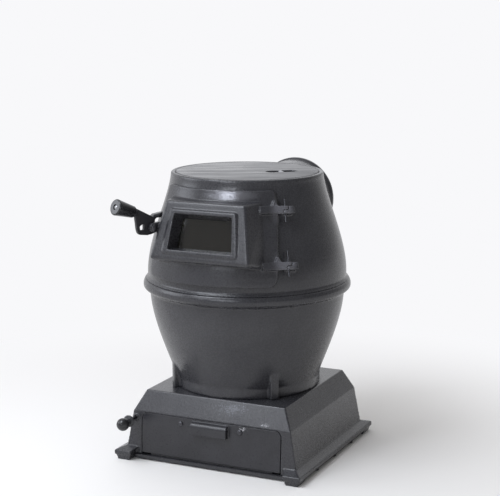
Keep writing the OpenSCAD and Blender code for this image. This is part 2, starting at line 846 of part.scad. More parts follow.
module lid() {
    color(iron)
    translate([0, 0, lid_z + eye_gap])
    difference() {
        union() {
            rotate_extrude($fn = 96)
                polygon([[0, 0], [lid_r, 0], [lid_r, lid_t - eye_gap - 0.8],
                    [lid_r - 0.8, lid_t - eye_gap], [0, lid_t - eye_gap]]);
            // Thick patch under the pocket
            rotate([0, 0, pocket_az])
                translate([pocket_pos_r, 0, lid_t - eye_gap - pocket_depth - pocket_floor])
                    rotate([0, 0, pocket_turn - pocket_az])
                        linear_extrude(pocket_depth)
                            stadium(pocket_l + 12, pocket_w + 12);
            // Locating ring inside the ledge
            translate([0, 0, -5])
                difference() {
                    cylinder(r = ledge_r - 1.5, h = 5 + eps);
                    translate([0, 0, -1])
                        cylinder(r = ledge_r - 7, h = 7);
                }
        }
        rotate([0, 0, pocket_az])
            translate([pocket_pos_r, 0, lid_t - eye_gap - pocket_depth])
                rotate([0, 0, pocket_turn - pocket_az])
                    difference() {
                        linear_extrude(2 * pocket_depth)
                            stadium(pocket_l, pocket_w);
                        translate([-pocket_bar_w / 2, -pocket_w, pocket_depth - pocket_bar_t])
                            cube([pocket_bar_w, 2 * pocket_w, 2 * pocket_depth]);
                    }
    }
}

// ---------------------------------------------------------------- flue collar

saddle_z0 = flue_z - saddle_r - 1;
saddle_z1 = top_z - 9;

module flue_line(r, y1, y2) {
    translate([0, y1, flue_z])
        rotate([-90, 0, 0])
            cylinder(r = r, h = y2 - y1, $fn = 96);
}

module collar_bolt_holes(r) {
    for (b = COLLAR_BOLTS)
        on_barrel(180 + b[0], b[1], -2 * wall)
            cylinder(r = r, h = 4 * wall);
}

module flue_collar() {
    color(iron)
    difference() {
        union() {
            intersection() {
                barrel_core(gasket_t + saddle_t, saddle_z0, saddle_z1);
                flue_line(saddle_r, 20, far);
            }
            translate([0, flue_reach, flue_z])
                rotate([90, 0, 0])
                    rotate_extrude($fn = 96)
                        polygon([[0, 0], [flue_r + bead_out - 2, 0],
                            [flue_r + bead_out, 2],
                            [flue_r + bead_out, bead_l - 3], [flue_r, bead_l],
                            [flue_r, flue_reach - 90], [0, flue_reach - 90]]);
        }
        barrel_core(gasket_t, joint_z, top_z + 30);
        // Socket for the pipe, which stops where the narrower passage starts
        flue_line(flue_bore_r, flue_reach - socket_l, far);
        flue_line(outlet_r, 20, far);
        collar_bolt_holes(collar_bolt_r + 0.2);
    }
}

module collar_gasket() {
    color("#b9b3a5")
    difference() {
        intersection() {
            barrel_shell(0, gasket_t, saddle_z0 + 2, saddle_z1 - 2);
            flue_line(saddle_r - 2, 20, far);
        }
        flue_line(outlet_r + 0.5, 20, far);
        collar_bolt_holes(collar_bolt_r + 0.2);
    }
}

module collar_bolts() {
    color(steel)
    for (b = COLLAR_BOLTS)
        on_barrel(180 + b[0], b[1], gasket_t + saddle_t + 0.4)
            hex_bolt(collar_bolt_r, gasket_t + saddle_t + wall + 4, 5.5, 4.2);
}

// ---------------------------------------------------------------- feed door

face_z = joint_z + face_up;

// Place on the face: x across, y up the lean from the reference height, z out of the face
module on_face(out = 0) {
    translate([0, -face_y, face_z])
        rotate([90 - face_lean, 0, 0])
            translate([0, 0, out])
                children();
}
function face_point(x, v) = [x, -face_y + v * sin(face_lean), face_z + v * cos(face_lean)];

flange_z0 = joint_z + 19;
flange_z1 = joint_z + 200;
flange_corner = 9;
// Half width of the door's flange at four heights: it follows the barrel's sides
function flange_outline() = rounded([
    [-135.5, flange_z0], [135.5, flange_z0],
    [137, flange_z0 + 18], [134.6, joint_z + 78], [130.6, joint_z + 107],
    [124.6, joint_z + 146], [113, flange_z1], [-113, flange_z1],
    [-124.6, joint_z + 146], [-130.6, joint_z + 107], [-134.6, joint_z + 78],
    [-137, flange_z0 + 18]
], flange_corner, 3);

// Corners where the box runs into the barrel
box_back = [
    [100.5, -132, joint_z + 180], [119, -160, joint_z + 51]
];

// Box between the leaning face and the barrel, with its edges rounded by r
module box_solid(inset, r, back) {
    top = face_point(face_top_w, face_top_v);
    bot = face_point(face_bot_w, -face_bot_v);
    hull() {
        for (s = [-1, 1]) {
            for (p = [top + [-inset - r, inset + r, -inset - r],
                      bot + [-inset - r, inset + r, inset + r]])
                translate([s * p[0], p[1], p[2]])
                    sphere(r, $fn = 28);
            for (p = [box_back[0] + [-inset - r, back, -inset - r],
                      box_back[1] + [-inset - r, back, inset + r]])
                translate([s * p[0], p[1], p[2]])
                    sphere(r, $fn = 20);
        }
    }
}

frame_w = 9;
frame_bevel = 2.5;
// How much wider the frame's two sides are at their foot
frame_flare = 5;
function grow_window(g, side) = trapezium(win_bot_w + side, win_bot_v - g,
    win_top_w + g, win_top_v + g);
function frame_outline(inset) =
    rounded(grow_window(frame_w - inset, frame_w + frame_flare - 1.6 * inset), 6 - inset);

// Raised frame round the window: a low upright edge, a steep bevel and a flat lip
module window_frame() {
    on_face(-1)
        linear_extrude(2)
            polygon(frame_outline(0));
    hull() {
        on_face(0)
            linear_extrude(1.5)
                polygon(frame_outline(0));
        on_face(frame_out - 0.5)
            linear_extrude(0.5)
                polygon(frame_outline(frame_bevel));
    }
}

// Funnel that leads from the window back to the glass
module funnel(wall_out, front, back) {
    hull() {
        on_face(front)
            linear_extrude(0.5)
                polygon(rounded(grow_window(wall_out, wall_out), 2 + wall_out));
        on_face(-back)
            linear_extrude(0.5)
                polygon(rounded(grow_window(wall_out - reveal_in, wall_out - reveal_in),
                    2 + wall_out));
    }
}

glass_land = 5;
CLIPS = [[-1, 14], [1, 14], [-1, 58], [1, 58]];
clip_t = 1.6;
clip_post_r = 5;
clip_screw_r = 2;
glass_back = reveal_d + glass_seal_t + glass_t;
function glass_half(v) =
    lerp(win_bot_w, win_top_w, (v - win_bot_v) / (win_top_v - win_bot_v)) - reveal_in + glass_land;
function clip_x(c) = c[0] * (glass_half(c[1]) + clip_post_r + 1.2);

// Door's half of a hinge: a strap over the flange and an eye on the pin
strap_len = 52;
module door_strap() {
    difference() {
        union() {
            translate([0, 0, -strap_h / 2])
                linear_extrude(strap_h)
                    polygon([[0, -eye_r], [0, eye_r], [8, 5.2], [strap_len, -3],
                        [strap_len, -22], [22, -12], [12, -eye_r]]);
            translate([0, 0, -strap_h / 2])
                cylinder(r = eye_r, h = strap_h);
            // Gusset on the strap's upper side, at the flange's edge
            translate([0, 0, strap_h / 2 - eps])
                rotate([90, 0, 0])
                    translate([0, 0, -1])
                        linear_extrude(9)
                            polygon([[14, 0], [27, 0], [22, 11], [20, 11]]);
        }
        translate([0, 0, -strap_h])
            cylinder(r = eye_r + 0.8, h = strap_h + eye_gap);
        translate([0, 0, -strap_h])
            cylinder(r = hinge_pin_r + hinge_gap, h = 2 * strap_h);
    }
}

// Latch frame: x forward along the lever, y up, z out to the left of the lever's plane
module at_latch() {
    multmatrix([[-sin(latch_turn), 0, -cos(latch_turn), -latch_x],
                [-cos(latch_turn), 0, sin(latch_turn), -latch_y],
                [0, 1, 0, latch_z], [0, 0, 0, 1]])
        children();
}
lever_gap = 0.3;
ear_r = 9;
ear_z = -lever_t / 2 - lever_gap - ear_t;

module latch_ear() {
    at_latch()
        translate([0, 0, ear_z])
            linear_extrude(ear_t) {
                circle(ear_r);
                polygon([[0, -ear_r], [-34, -ear_r - 4], [-34, ear_r + 4], [0, ear_r]]);
            }
}

module feed_door() {
    color(iron)
    difference() {
        union() {
            difference() {
                union() {
                    box_solid(0, box_round, 0);
                    latch_ear();
                    intersection() {
                        barrel_shell(door_gap, door_gap + door_flange_t, flange_z0 - 5,
                            flange_z1 + 5);
                        along_y(-far, 0)
                            polygon(flange_outline());
                    }
                    at_hinges()
                        door_strap();
                }
                box_solid(door_wall, 2, 60);
                barrel_core(door_gap, joint_z, top_z + 5);
                // Groove for the sealing rope
                intersection() {
                    barrel_core(door_gap + 3, joint_z, top_z + 5);
                    difference() {
                        door_hole(3.5 + rope_w + 0.3);
                        door_hole(3.5 - 0.3);
                    }
                }
            }
            window_frame();
            funnel(glass_land, -2, reveal_d);
            for (c = CLIPS)
                on_face(-glass_back)
                    translate([clip_x(c), c[1], 0])
                        cylinder(r = clip_post_r, h = glass_back - 2);
        }
        funnel(0, frame_out, reveal_d + 0.5);
        for (c = CLIPS)
            on_face(-glass_back - 1)
                translate([clip_x(c), c[1], 0])
                    cylinder(r = clip_screw_r + 0.1, h = 13);
        at_latch()
            translate([0, 0, -far / 8])
                cylinder(r = latch_bolt_r + 0.1, h = far / 4 - 20);
    }
}

module door_rope() {
    color("#c9c3b4")
    intersection() {
        barrel_shell(seat_gap, door_gap + 2.9, joint_z + 10, joint_z + 215);
        difference() {
            door_hole(3.5 + rope_w);
            door_hole(3.5);
        }
    }
}

module glass_plate(z, t, hollow) {
    on_face(z)
        linear_extrude(t)
            difference() {
                polygon(rounded(grow_window(glass_land - reveal_in, glass_land - reveal_in), 6));
                if (hollow)
                    polygon(rounded(grow_window(0.4 - reveal_in, 0.4 - reveal_in), 2));
            }
}

module glass_gasket() {
    color("#b9b3a5")
    glass_plate(-reveal_d - glass_seal_t, glass_seal_t, true);
}

module door_glass() {
    color("#3a3833")
    glass_plate(-glass_back, glass_t, false);
}

module glass_clips() {
    color(steel)
    for (c = CLIPS)
        on_face(-glass_back - clip_t)
            translate([clip_x(c), c[1], 0])
                difference() {
                    linear_extrude(clip_t) {
                        circle(clip_post_r + 1);
                        translate([c[0] > 0 ? -13 : 0, -5])
                            square([13, 10]);
                    }
                    translate([0, 0, -1])
                        cylinder(r = clip_screw_r + 0.2, h = 4);
                }
}

module clip_screws() {
    color(steel)
    for (c = CLIPS)
        on_face(-glass_back - clip_t)
            translate([clip_x(c), c[1], 0])
                mirror([0, 0, 1])
                    domed_bolt(clip_screw_r, 11, 4, 2.4);
}

// Hinge pin with a small head at its upper end
module hinge_pin(low, high) {
    translate([0, 0, -low])
        cylinder(r = hinge_pin_r, h = low + high);
    translate([0, 0, high - 2])
        rotate_extrude()
            polygon([[0, 0], [hinge_pin_r + 0.9, 0.3], [hinge_pin_r + 0.9, 1.6],
                [hinge_pin_r, 2.4], [0, 2.4]]);
}
module upper_hinge_pin() {
    color(steel)
    at_hinge(upper_eye, upper_eye_az)
        hinge_pin(23.5, 21);
}
module lower_hinge_pin() {
    color(steel)
    at_hinge(lower_eye, lower_eye_az)
        hinge_pin(20, 29);
}

// ---------------------------------------------------------------- latch

grip_base = [41.5, 33.9];
grip_dir = [cos(grip_slope), sin(grip_slope)];
grip_side = [-sin(grip_slope), cos(grip_slope)];
// Where the lever's plate ends, inside the ferrule
plate_end = grip_base - 2 * grip_dir;
tang_r = 5;
tang_l = grip_l - 12;
tail_z = latch_z - 14.4;
tail_h = 7.4;
// Middle of the tail, from the lever to the nose, seen from above
TAIL = [[-112.8, -210], [-114.5, -190], [-128, -153], [-139, -131]];
nose_h = 8;

function offset_path(p, d) = [for (i = [0 : len(p) - 1])
    let (
        t0 = unit(p[min(i + 1, len(p) - 1)] - p[min(i, len(p) - 2)]),
        t1 = unit(p[max(i, 1)] - p[max(i - 1, 0)]),
        m = unit(t0 + t1)
    )
    p[i] + d * [-m[1], m[0]] / (m * t0)];

module latch_lever() {
    color(iron_dark) {
        at_latch() {
            difference() {
                union() {
                    translate([0, 0, -lever_t / 2])
                        linear_extrude(lever_t)
                            polygon(concat(
                                [[-8, 5], [-7, 19], plate_end + 8.5 * grip_side,
                                 plate_end - 8.5 * grip_side, [38, 24]],
                                [[34.5, -2]], corner([34, 0], [32.5, -12], [0, -14.5], 9, 5),
                                [[8, -15], [-6, -9.5]]
                            ));
                    translate([0, 0, -lever_t / 2])
                        cylinder(r = 10, h = lever_t + 1.5);
                    // Ferrule and tang that the grip slides over
                    translate([grip_base[0], grip_base[1], 0])
                        rotate([0, 0, grip_slope])
                            rotate([0, 90, 0]) {
                                translate([0, 0, -9])
                                    cylinder(r1 = 7, r2 = 10, h = 9);
                                cylinder(r = tang_r, h = tang_l);
                            }
                }
                translate([21.8, 2.4, -lever_t])
                    linear_extrude(2 * lever_t)
                        polygon(rounded([[-4, -6], [5, -5.5], [6, 2], [-4.5, 7]], 2.5));
                translate([0, 0, -20])
                    cylinder(r = latch_bolt_r + 0.1, h = 40);
                translate([grip_base[0], grip_base[1], 0])
                    rotate([0, 0, grip_slope])
                        rotate([0, 90, 0])
                            translate([0, 0, tang_l - 14])
                                cylinder(r = 2.1, h = 20);
            }
        }
        // Tail that runs back beside the door to its nose
        translate([0, 0, tail_z])
            linear_extrude(tail_h)
                polygon(concat(offset_path(TAIL, nose_t / 2), flip(offset_path(TAIL, -nose_t / 2))));
        translate([0, 0, tail_z - 1])
            linear_extrude(nose_h)
                polygon([[-133.2, -139.5], [-136.2, -140.7], [-141.6, -129.6], [-136.4, -129]]);
    }
}

module latch_grip() {
    color("#17171a")
    at_latch()
        translate([grip_base[0], grip_base[1], 0])
            rotate([0, 0, grip_slope])
                rotate([0, 90, 0])
                    difference() {
                        rotate_extrude()
                            polygon(concat(
                                [[0, 0.1], [grip_r0 - 1, 0.1], [grip_r0, 1.2]],
                                [for (a = [0 : 15 : 90])
                                    [grip_r1 - grip_edge + grip_edge * cos(a),
                                     grip_l - grip_edge + grip_edge * sin(a)]],
                                [[0, grip_l]]
                            ));
                        translate([0, 0, -1])
                            cylinder(r = tang_r + 0.1, h = tang_l + 1.5);
                        cylinder(r = 2.3, h = grip_l);
                        translate([0, 0, grip_l - 5])
                            cylinder(r = 5.5, h = 10);
                    }
}

module grip_screw() {
    color(steel)
    at_latch()
        translate([grip_base[0], grip_base[1], 0])
            rotate([0, 0, grip_slope])
                rotate([0, 90, 0])
                    translate([0, 0, grip_l - 5])
                        domed_bolt(2, 18, 5, 4.5);
}

module latch_bolt() {
    color(steel)
    at_latch()
        translate([0, 0, ear_z])
            mirror([0, 0, 1])
                domed_bolt(latch_bolt_r, ear_t + lever_t + lever_gap + 8, 7, 4.5);
}

module latch_nut() {
    color(steel)
    at_latch()
        translate([0, 0, lever_t / 2 + 1.5 + lever_gap])
            difference() {
                cylinder(r = 7, h = 5, $fn = 6);
                translate([0, 0, -1])
                    cylinder(r = latch_bolt_r + 0.02, h = 7);
            }
}

// ---------------------------------------------------------------- drawer

// Front plane of the base, and planes parallel to it by t behind
function front_y(z, t = 0) = -wall_y(z) + t / cos(wall_lean);
pan_z = bottom_z + seat_gap;
pan_bolt_z = 86;
pan_tab_h = 11;
pull_z1 = drawer_z1 - pull_drop;

module front_slab(t1, t2, z1, z2) {
    polygon([[front_y(z1, t1), z1], [front_y(z1, t2), z1], [front_y(z2, t2), z2],
        [front_y(z2, t1), z2]]);
}

// Hooded pull in profile: a quarter round over an upright lip
function hood(d, z1, z2) = concat(
    [[0.5, z2], [0, z1]],
    [[-d, z1]],
    [for (a = [0 : 18 : 90]) [-d + d * 0.75 * (1 - cos(a)), z2 - d * 0.75 * (1 - sin(a))]]
);

module drawer_front() {
    color(iron)
    difference() {
        union() {
            intersection() {
                along_y(-far, 0)
                    drawer_outline(0);
                along_x(-far, far)
                    front_slab(0, drawer_t, 0, 2 * shoulder_z);
            }
            difference() {
                translate([0, front_y(pull_z1) + 0.8, 0])
                    along_x(-pull_w / 2, pull_w / 2)
                        polygon(hood(pull_out, pull_z1 - pull_h, pull_z1));
                translate([0, front_y(pull_z1) + 0.8, 0])
                    along_x(-pull_w / 2 + pull_wall, pull_w / 2 - pull_wall)
                        polygon(hood(pull_out - pull_wall, pull_z1 - pull_h - 5,
                            pull_z1 - pull_wall));
            }
        }
        // Room behind the pull stays shut by the plate: only the holes go through
        for (s = [-1, 1])
            at_pan_bolt(s)
                translate([0, 0, -20])
                    cylinder(r = pan_bolt_r + 0.2, h = 40);
    }
}

module at_pan_bolt(s) {
    translate([s * pan_bolt_span / 2, front_y(pan_bolt_z), pan_bolt_z])
        rotate([90 - wall_lean, 0, 0])
            children();
}

module ash_pan() {
    z1 = pan_z + pan_h;
    y1 = pan_d / 2;
    t = pan_t;
    d = drawer_t + 0.1;
    color(iron_dark)
    difference() {
        union() {
            difference() {
                along_x(-pan_w / 2, pan_w / 2)
                    polygon([[front_y(pan_z, d), pan_z], [y1, pan_z], [y1, z1],
                        [front_y(z1, d), z1]]);
                along_x(-pan_w / 2 + t, pan_w / 2 - t)
                    polygon([[front_y(pan_z + t, d + t), pan_z + t], [y1 - t, pan_z + t],
                        [y1 - t, z1 + 1], [front_y(z1 + 1, d + t), z1 + 1]]);
            }
            // Rolled edge along both sides and the back
            for (s = [-1, 1])
                translate([s * (pan_w / 2 - 2), y1 - pan_d / 2, z1 - 1.5])
                    rotate([90, 0, 0])
                        cylinder(r = 2, h = pan_d - 20, center = true);
            along_x(-pan_w / 2 + 30, pan_w / 2 - 30)
                front_slab(d, d + t, z1 - 2, z1 + pan_tab_h + 2);
        }
        for (s = [-1, 1])
            at_pan_bolt(s)
                translate([0, 0, -20])
                    cylinder(r = pan_bolt_r + 0.2, h = 40);
    }
}

module pan_bolts() {
    color(steel)
    for (s = [-1, 1])
        at_pan_bolt(s)
            domed_bolt(pan_bolt_r, drawer_t + pan_t + 6, 5.5, 3.4);
}

module pan_nuts() {
    color(steel)
    for (s = [-1, 1])
        at_pan_bolt(s)
            translate([0, 0, -drawer_t - pan_t - 0.1 - 4])
                difference() {
                    cylinder(r = 5, h = 4, $fn = 6);
                    translate([0, 0, -1])
                        cylinder(r = pan_bolt_r + 0.02, h = 6);
                }
}

// ---------------------------------------------------------------- grate and shaker

ledge_z = base_h - 10;
frame_in = grate_r + grate_gap;
grate_z = ledge_z + seat_gap;
arm_z0 = grate_z - 19;
// The pin's distance from the grate's middle
arm_r = rod_x - arm_inset;
arm_t = 6;
hub_r = 84;

module grate_frame() {
    color(iron_dark)
    rotate_extrude($fn = 96)
        polygon([
            [frame_in, ledge_z], [frame_in, base_h + 5], [frame_in + wall + 11, base_h + 5],
            [frame_in + wall + 13, base_h + 3], [frame_in + wall + 13, base_h],
            [frame_in + wall - 1.4, base_h], [frame_in + wall - 1.4, ledge_z - 5],
            [frame_in - 13, ledge_z - 5], [frame_in - 13, ledge_z]
        ]);
}

module shaker_grate() {
    color(iron_dark)
    difference() {
        union() {
            translate([0, 0, grate_z])
                cylinder(r = grate_r, h = grate_t, $fn = 96);
            // Arm under the grate, with the pin that the shaker turns
            translate([-hub_r, -11, arm_z0])
                cube([16, 22, grate_z - arm_z0 + 1]);
            translate([-arm_r, -8, arm_z0])
                cube([arm_r - hub_r + 4, 16, arm_t]);
            translate([-arm_r, 0, arm_z0])
                cylinder(r = 8, h = arm_t);
            translate([-arm_r, 0, rod_z - 5])
                cylinder(r = arm_pin_r, h = arm_z0 - rod_z + 5 + arm_t);
        }
        intersection() {
            translate([0, 0, grate_z - 1])
                linear_extrude(grate_t + 2)
                    for (i = [-5 : 5])
                        translate([i * slot_pitch, 0])
                            for (s = [-1, 1])
                                translate([0, s * 52])
                                    square([slot_w, 92], center = true);
            translate([0, 0, grate_z - 2])
                cylinder(r = frame_in - 16, h = grate_t + 4);
            // The bar over the arm's root stays whole
            difference() {
                translate([-far, -far, grate_z - 2])
                    cube([2 * far, 2 * far, grate_t + 4]);
                translate([-hub_r - 4, -15, grate_z - 3])
                    cube([24, 30, grate_t + 6]);
            }
        }
    }
}

rod_front = wall_y(rod_z) + knob_reach - 4;
eye_plate_t = 6;
// The pin swings in by 1.3 mm at both ends of the grate's turn
slot_half = 2;

module shaker_rod() {
    color(steel)
    difference() {
        union() {
            translate([-rod_x, -rod_front, rod_z])
                rotate([-90, 0, 0])
                    cylinder(r = rod_r, h = rod_front + 8);
            translate([-rod_x, 0, rod_z - eye_plate_t / 2])
                linear_extrude(eye_plate_t) {
                    translate([2 - rod_r, -10])
                        square([rod_x - arm_r + rod_r - 2, 20]);
                    translate([rod_x - arm_r, 0])
                        circle(10);
                }
        }
        translate([0, 0, rod_z - eye_plate_t])
            linear_extrude(2 * eye_plate_t) {
                for (x = [-slot_half, slot_half])
                    translate([x - arm_r, 0])
                        circle(arm_pin_r + pin_gap);
                translate([-arm_r - slot_half, -arm_pin_r - pin_gap])
                    square([2 * slot_half, 2 * (arm_pin_r + pin_gap)]);
            }
    }
}

module shaker_collar() {
    color(iron_dark)
    translate([-rod_x, -wall_y(rod_z) - collar_reach, rod_z])
        rotate([90, 0, 0])
            rotate_extrude()
                polygon([[rod_r + 0.02, -6], [rod_r + 3, -6], [collar_disc_r - 1.5, -1.5],
                    [collar_disc_r, 0], [collar_disc_r, 1.5], [collar_disc_r - 2, 3],
                    [rod_r + 4, 4], [rod_r + 3, 9], [rod_r + 0.02, 9]]);
}

module shaker_knob() {
    color("#17171a")
    translate([-rod_x, -wall_y(rod_z) - knob_reach, rod_z])
        difference() {
            union() {
                sphere(knob_r);
                rotate([-90, 0, 0])
                    cylinder(r1 = knob_r * 0.75, r2 = rod_r + 2.5, h = knob_r + 1.5);
            }
            translate([0, -4, 0])
                rotate([-90, 0, 0])
                    cylinder(r = rod_r + 0.02, h = 3 * knob_r);
        }
}

// ---------------------------------------------------------------- whole stove

// The origin lies under the middle of the stove's outer box. The latch grip reaches
// furthest forward and the flue collar furthest back.
grip_rise = cos(latch_turn) * cos(grip_slope);
front_reach = latch_y + cos(latch_turn) * grip_base[0] + (grip_l - grip_edge) * grip_rise
    + (grip_r1 - grip_edge) * sqrt(1 - grip_rise * grip_rise) + grip_edge;
axis_y = (front_reach - flue_reach) / 2;

module placed() {
    translate([0, axis_y, 0])
        children();
}

placed() bottom_plate();
placed() plate_screws();
placed() ash_base();
placed() fire_pot();
placed() pot_bolts();
placed() belt_rope();
placed() upper_body();
placed() body_bolts();
placed() body_nuts();
placed() lid();
placed() flue_collar();
placed() collar_gasket();
placed() collar_bolts();
placed() feed_door();
placed() door_rope();
placed() door_glass();
placed() glass_gasket();
placed() glass_clips();
placed() clip_screws();
placed() upper_hinge_pin();
placed() lower_hinge_pin();
placed() latch_lever();
placed() latch_grip();
placed() grip_screw();
placed() latch_bolt();
placed() latch_nut();
placed() drawer_front();
placed() ash_pan();
placed() pan_bolts();
placed() pan_nuts();
placed() grate_frame();
placed() shaker_grate();
placed() shaker_rod();
placed() shaker_collar();
placed() shaker_knob();
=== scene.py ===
# %% [markdown]
# # A potbelly stove in painted cast iron
# This lesson dresses a CAD model of a small potbelly stove. The solids come from the packed
# frame and stay where they are. Blender gives them what a foundry gives the real stove: soft
# edges, a sandy skin, heat-proof paint, bare steel, a glass window and braided sealing rope.

import json
import math
import bpy
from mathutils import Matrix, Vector
from mathutils.bvhtree import BVHTree


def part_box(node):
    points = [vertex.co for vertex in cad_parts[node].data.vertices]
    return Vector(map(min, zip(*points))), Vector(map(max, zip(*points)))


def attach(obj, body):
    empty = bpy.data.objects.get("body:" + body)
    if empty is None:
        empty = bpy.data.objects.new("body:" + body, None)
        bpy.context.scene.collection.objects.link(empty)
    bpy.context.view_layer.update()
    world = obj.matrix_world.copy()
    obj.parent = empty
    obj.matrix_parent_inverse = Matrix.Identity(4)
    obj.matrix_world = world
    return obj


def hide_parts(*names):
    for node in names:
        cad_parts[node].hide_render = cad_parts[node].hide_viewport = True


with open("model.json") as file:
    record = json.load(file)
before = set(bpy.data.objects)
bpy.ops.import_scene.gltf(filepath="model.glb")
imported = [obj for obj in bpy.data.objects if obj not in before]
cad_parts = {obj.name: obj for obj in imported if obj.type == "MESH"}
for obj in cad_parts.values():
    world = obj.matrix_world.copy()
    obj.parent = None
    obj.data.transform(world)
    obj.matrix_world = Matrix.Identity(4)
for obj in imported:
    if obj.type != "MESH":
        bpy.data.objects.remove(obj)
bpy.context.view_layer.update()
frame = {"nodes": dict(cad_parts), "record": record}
nodes = frame["nodes"]
body_of_node = {
    node: body for body, members in frame["record"]["behaviour"]["bodies"].items() for node in members
}
scene = bpy.context.scene
MM = 0.001

# %% [markdown]
# ## The camera
# The photograph was taken a little to the right of the front and slightly from above. Its
# angles and distance were fitted to the stove's own straight edges and circles. The camera looks
# at a point on the stove's axis, and a lens shift moves the picture within the frame.

# %% Camera
AZIMUTH, ELEVATION = math.radians(25.04), math.radians(12.805)
DISTANCE = 2.8678  # metres from the lens to the point aimed at
AIM_HEIGHT = 0.307  # metres above the floor
LENS, SENSOR = 99.342, 36.0  # millimetres
SHIFT = (0.0056, 0.1098)  # shares of the picture's width
HORIZON = 300  # metres, past the floor's far edge

pot_low, pot_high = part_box("fire_pot")
axis_y = (pot_low.y + pot_high.y) / 2
aim = Vector((0, axis_y, AIM_HEIGHT))


def toward(azimuth, elevation):
    """Unit vector from the stove to a place seen at these angles, azimuth 0 being the front."""
    return Vector((
        math.sin(azimuth) * math.cos(elevation),
        -math.cos(azimuth) * math.cos(elevation),
        math.sin(elevation),
    ))


lens = bpy.data.cameras.new("camera")
lens.lens, lens.sensor_width, lens.sensor_fit = LENS, SENSOR, "HORIZONTAL"
lens.shift_x, lens.shift_y = SHIFT
lens.clip_end = HORIZON
camera = bpy.data.objects.new("camera", lens)
camera.location = aim + DISTANCE * toward(AZIMUTH, ELEVATION)
camera.rotation_euler = (aim - camera.location).to_track_quat("-Z", "Y").to_euler()
scene.collection.objects.link(camera)
scene.camera = camera
print("camera at", [round(v, 3) for v in camera.location])

# %% [markdown]
# ## Helpers for shaders
# Colours are written as sRGB hex, the way a colour picker shows them, and Blender's shaders
# want linear numbers. One function turns them over, and one adds a node with its settings and
# links, so that each material reads from top to bottom. Patterns take their place from the
# piece's own coordinates, so they stay on it when it moves.


# %% Colour and node helpers
def linear(colour):
    """Linear RGBA of an sRGB hex colour."""
    values = [int(colour[i:i + 2], 16) / 255 for i in (1, 3, 5)]
    return [v / 12.92 if v <= 0.04045 else ((v + 0.055) / 1.055) ** 2.4 for v in values] + [1]


def add(tree, kind, inputs=(), **settings):
    """A new node. inputs maps an input's name or number to a value or to another node's output."""
    made = tree.nodes.new(kind)
    for name, value in settings.items():
        setattr(made, name, value)
    for name, value in dict(inputs).items():
        if isinstance(value, bpy.types.NodeSocket):
            tree.links.new(value, made.inputs[name])
        else:
            made.inputs[name].default_value = value
    return made


def per_mm(size):
    """Noise scale at which one feature is this many millimetres across."""
    return 1 / (size * MM)


def new_material(name):
    """An empty material with its tree, shader and the piece's own coordinates in metres."""
    material = bpy.data.materials.new(name)
    material.use_nodes = True
    tree = material.node_tree
    tree.nodes.clear()
    shader = add(tree, "ShaderNodeBsdfPrincipled")
    add(tree, "ShaderNodeOutputMaterial", {"Surface": shader.outputs["BSDF"]})
    place = add(tree, "ShaderNodeTexCoord").outputs["Object"]
    return material, tree, shader, place


def find(tree, kind):
    """The first node of a kind in a tree."""
    return next(node for node in tree.nodes if node.type == kind)


print("mid grey #808080 is", round(linear("#808080")[0], 3), "in linear light")

# %% [markdown]
# ## Heat-proof paint on sand-cast iron
# The stove's castings come out of a sand mould, so their skin has the grain of the sand and
# long shallow waves from shrinking. A thin coat of satin black heat-proof paint covers it.
# Two noises bend the normal: the grain and the waves. The real sand grain is under 1 mm, finer
# than a pixel of this picture, so it is drawn at a few millimetres to show at all. A third,
# wider noise shifts the grey a little, as paint does where it went on thicker. The coat is not
# metal: its binder has an IOR of 1.5, and its satin gloss is what gives the stove its form. The
# grate's iron stays raw, which is the same skin, browner and much rougher.


# %% Painted iron
SAND_GRAIN, SHRINK_WAVE, PAINT_PATCH = 3.4, 38, 70  # millimetres across
WAVE_HEIGHT = 0.6  # millimetres


def painted_iron(name, colour, worn, grain=0.2, roughness=0.27):
    """Satin paint over a sand casting. grain is the height of the skin's bumps in mm."""
    material, tree, shader, place = new_material(name)
    sand = add(tree, "ShaderNodeTexNoise", {
        "Vector": place, "Scale": per_mm(SAND_GRAIN), "Detail": 3, "Roughness": 0.55})
    waves = add(tree, "ShaderNodeTexNoise", {
        "Vector": place, "Scale": per_mm(SHRINK_WAVE), "Detail": 2, "Roughness": 0.4})
    patches = add(tree, "ShaderNodeTexNoise", {
        "Vector": place, "Scale": per_mm(PAINT_PATCH), "Detail": 4, "Roughness": 0.6})
    tint = add(tree, "ShaderNodeMapRange", {
        "Value": patches.outputs["Fac"], "From Min": 0.35, "From Max": 0.65})
    mixed = add(tree, "ShaderNodeMix", {
        0: tint.outputs["Result"], 6: linear(colour), 7: linear(worn)}, data_type="RGBA")
    satin = add(tree, "ShaderNodeMapRange", {
        "Value": sand.outputs["Fac"], "From Min": 0.3, "From Max": 0.7,
        "To Min": roughness - 0.05, "To Max": roughness + 0.07})
    skin = add(tree, "ShaderNodeBump", {
        "Height": sand.outputs["Fac"], "Strength": 0.5, "Distance": grain * MM})
    skin = add(tree, "ShaderNodeBump", {
        "Height": waves.outputs["Fac"], "Strength": 0.5, "Distance": WAVE_HEIGHT * MM,
        "Normal": skin.outputs["Normal"]})
    tree.links.new(mixed.outputs[2], shader.inputs["Base Color"])
    tree.links.new(satin.outputs["Result"], shader.inputs["Roughness"])
    tree.links.new(skin.outputs["Normal"], shader.inputs["Normal"])
    shader.inputs["IOR"].default_value = 1.5
    return material


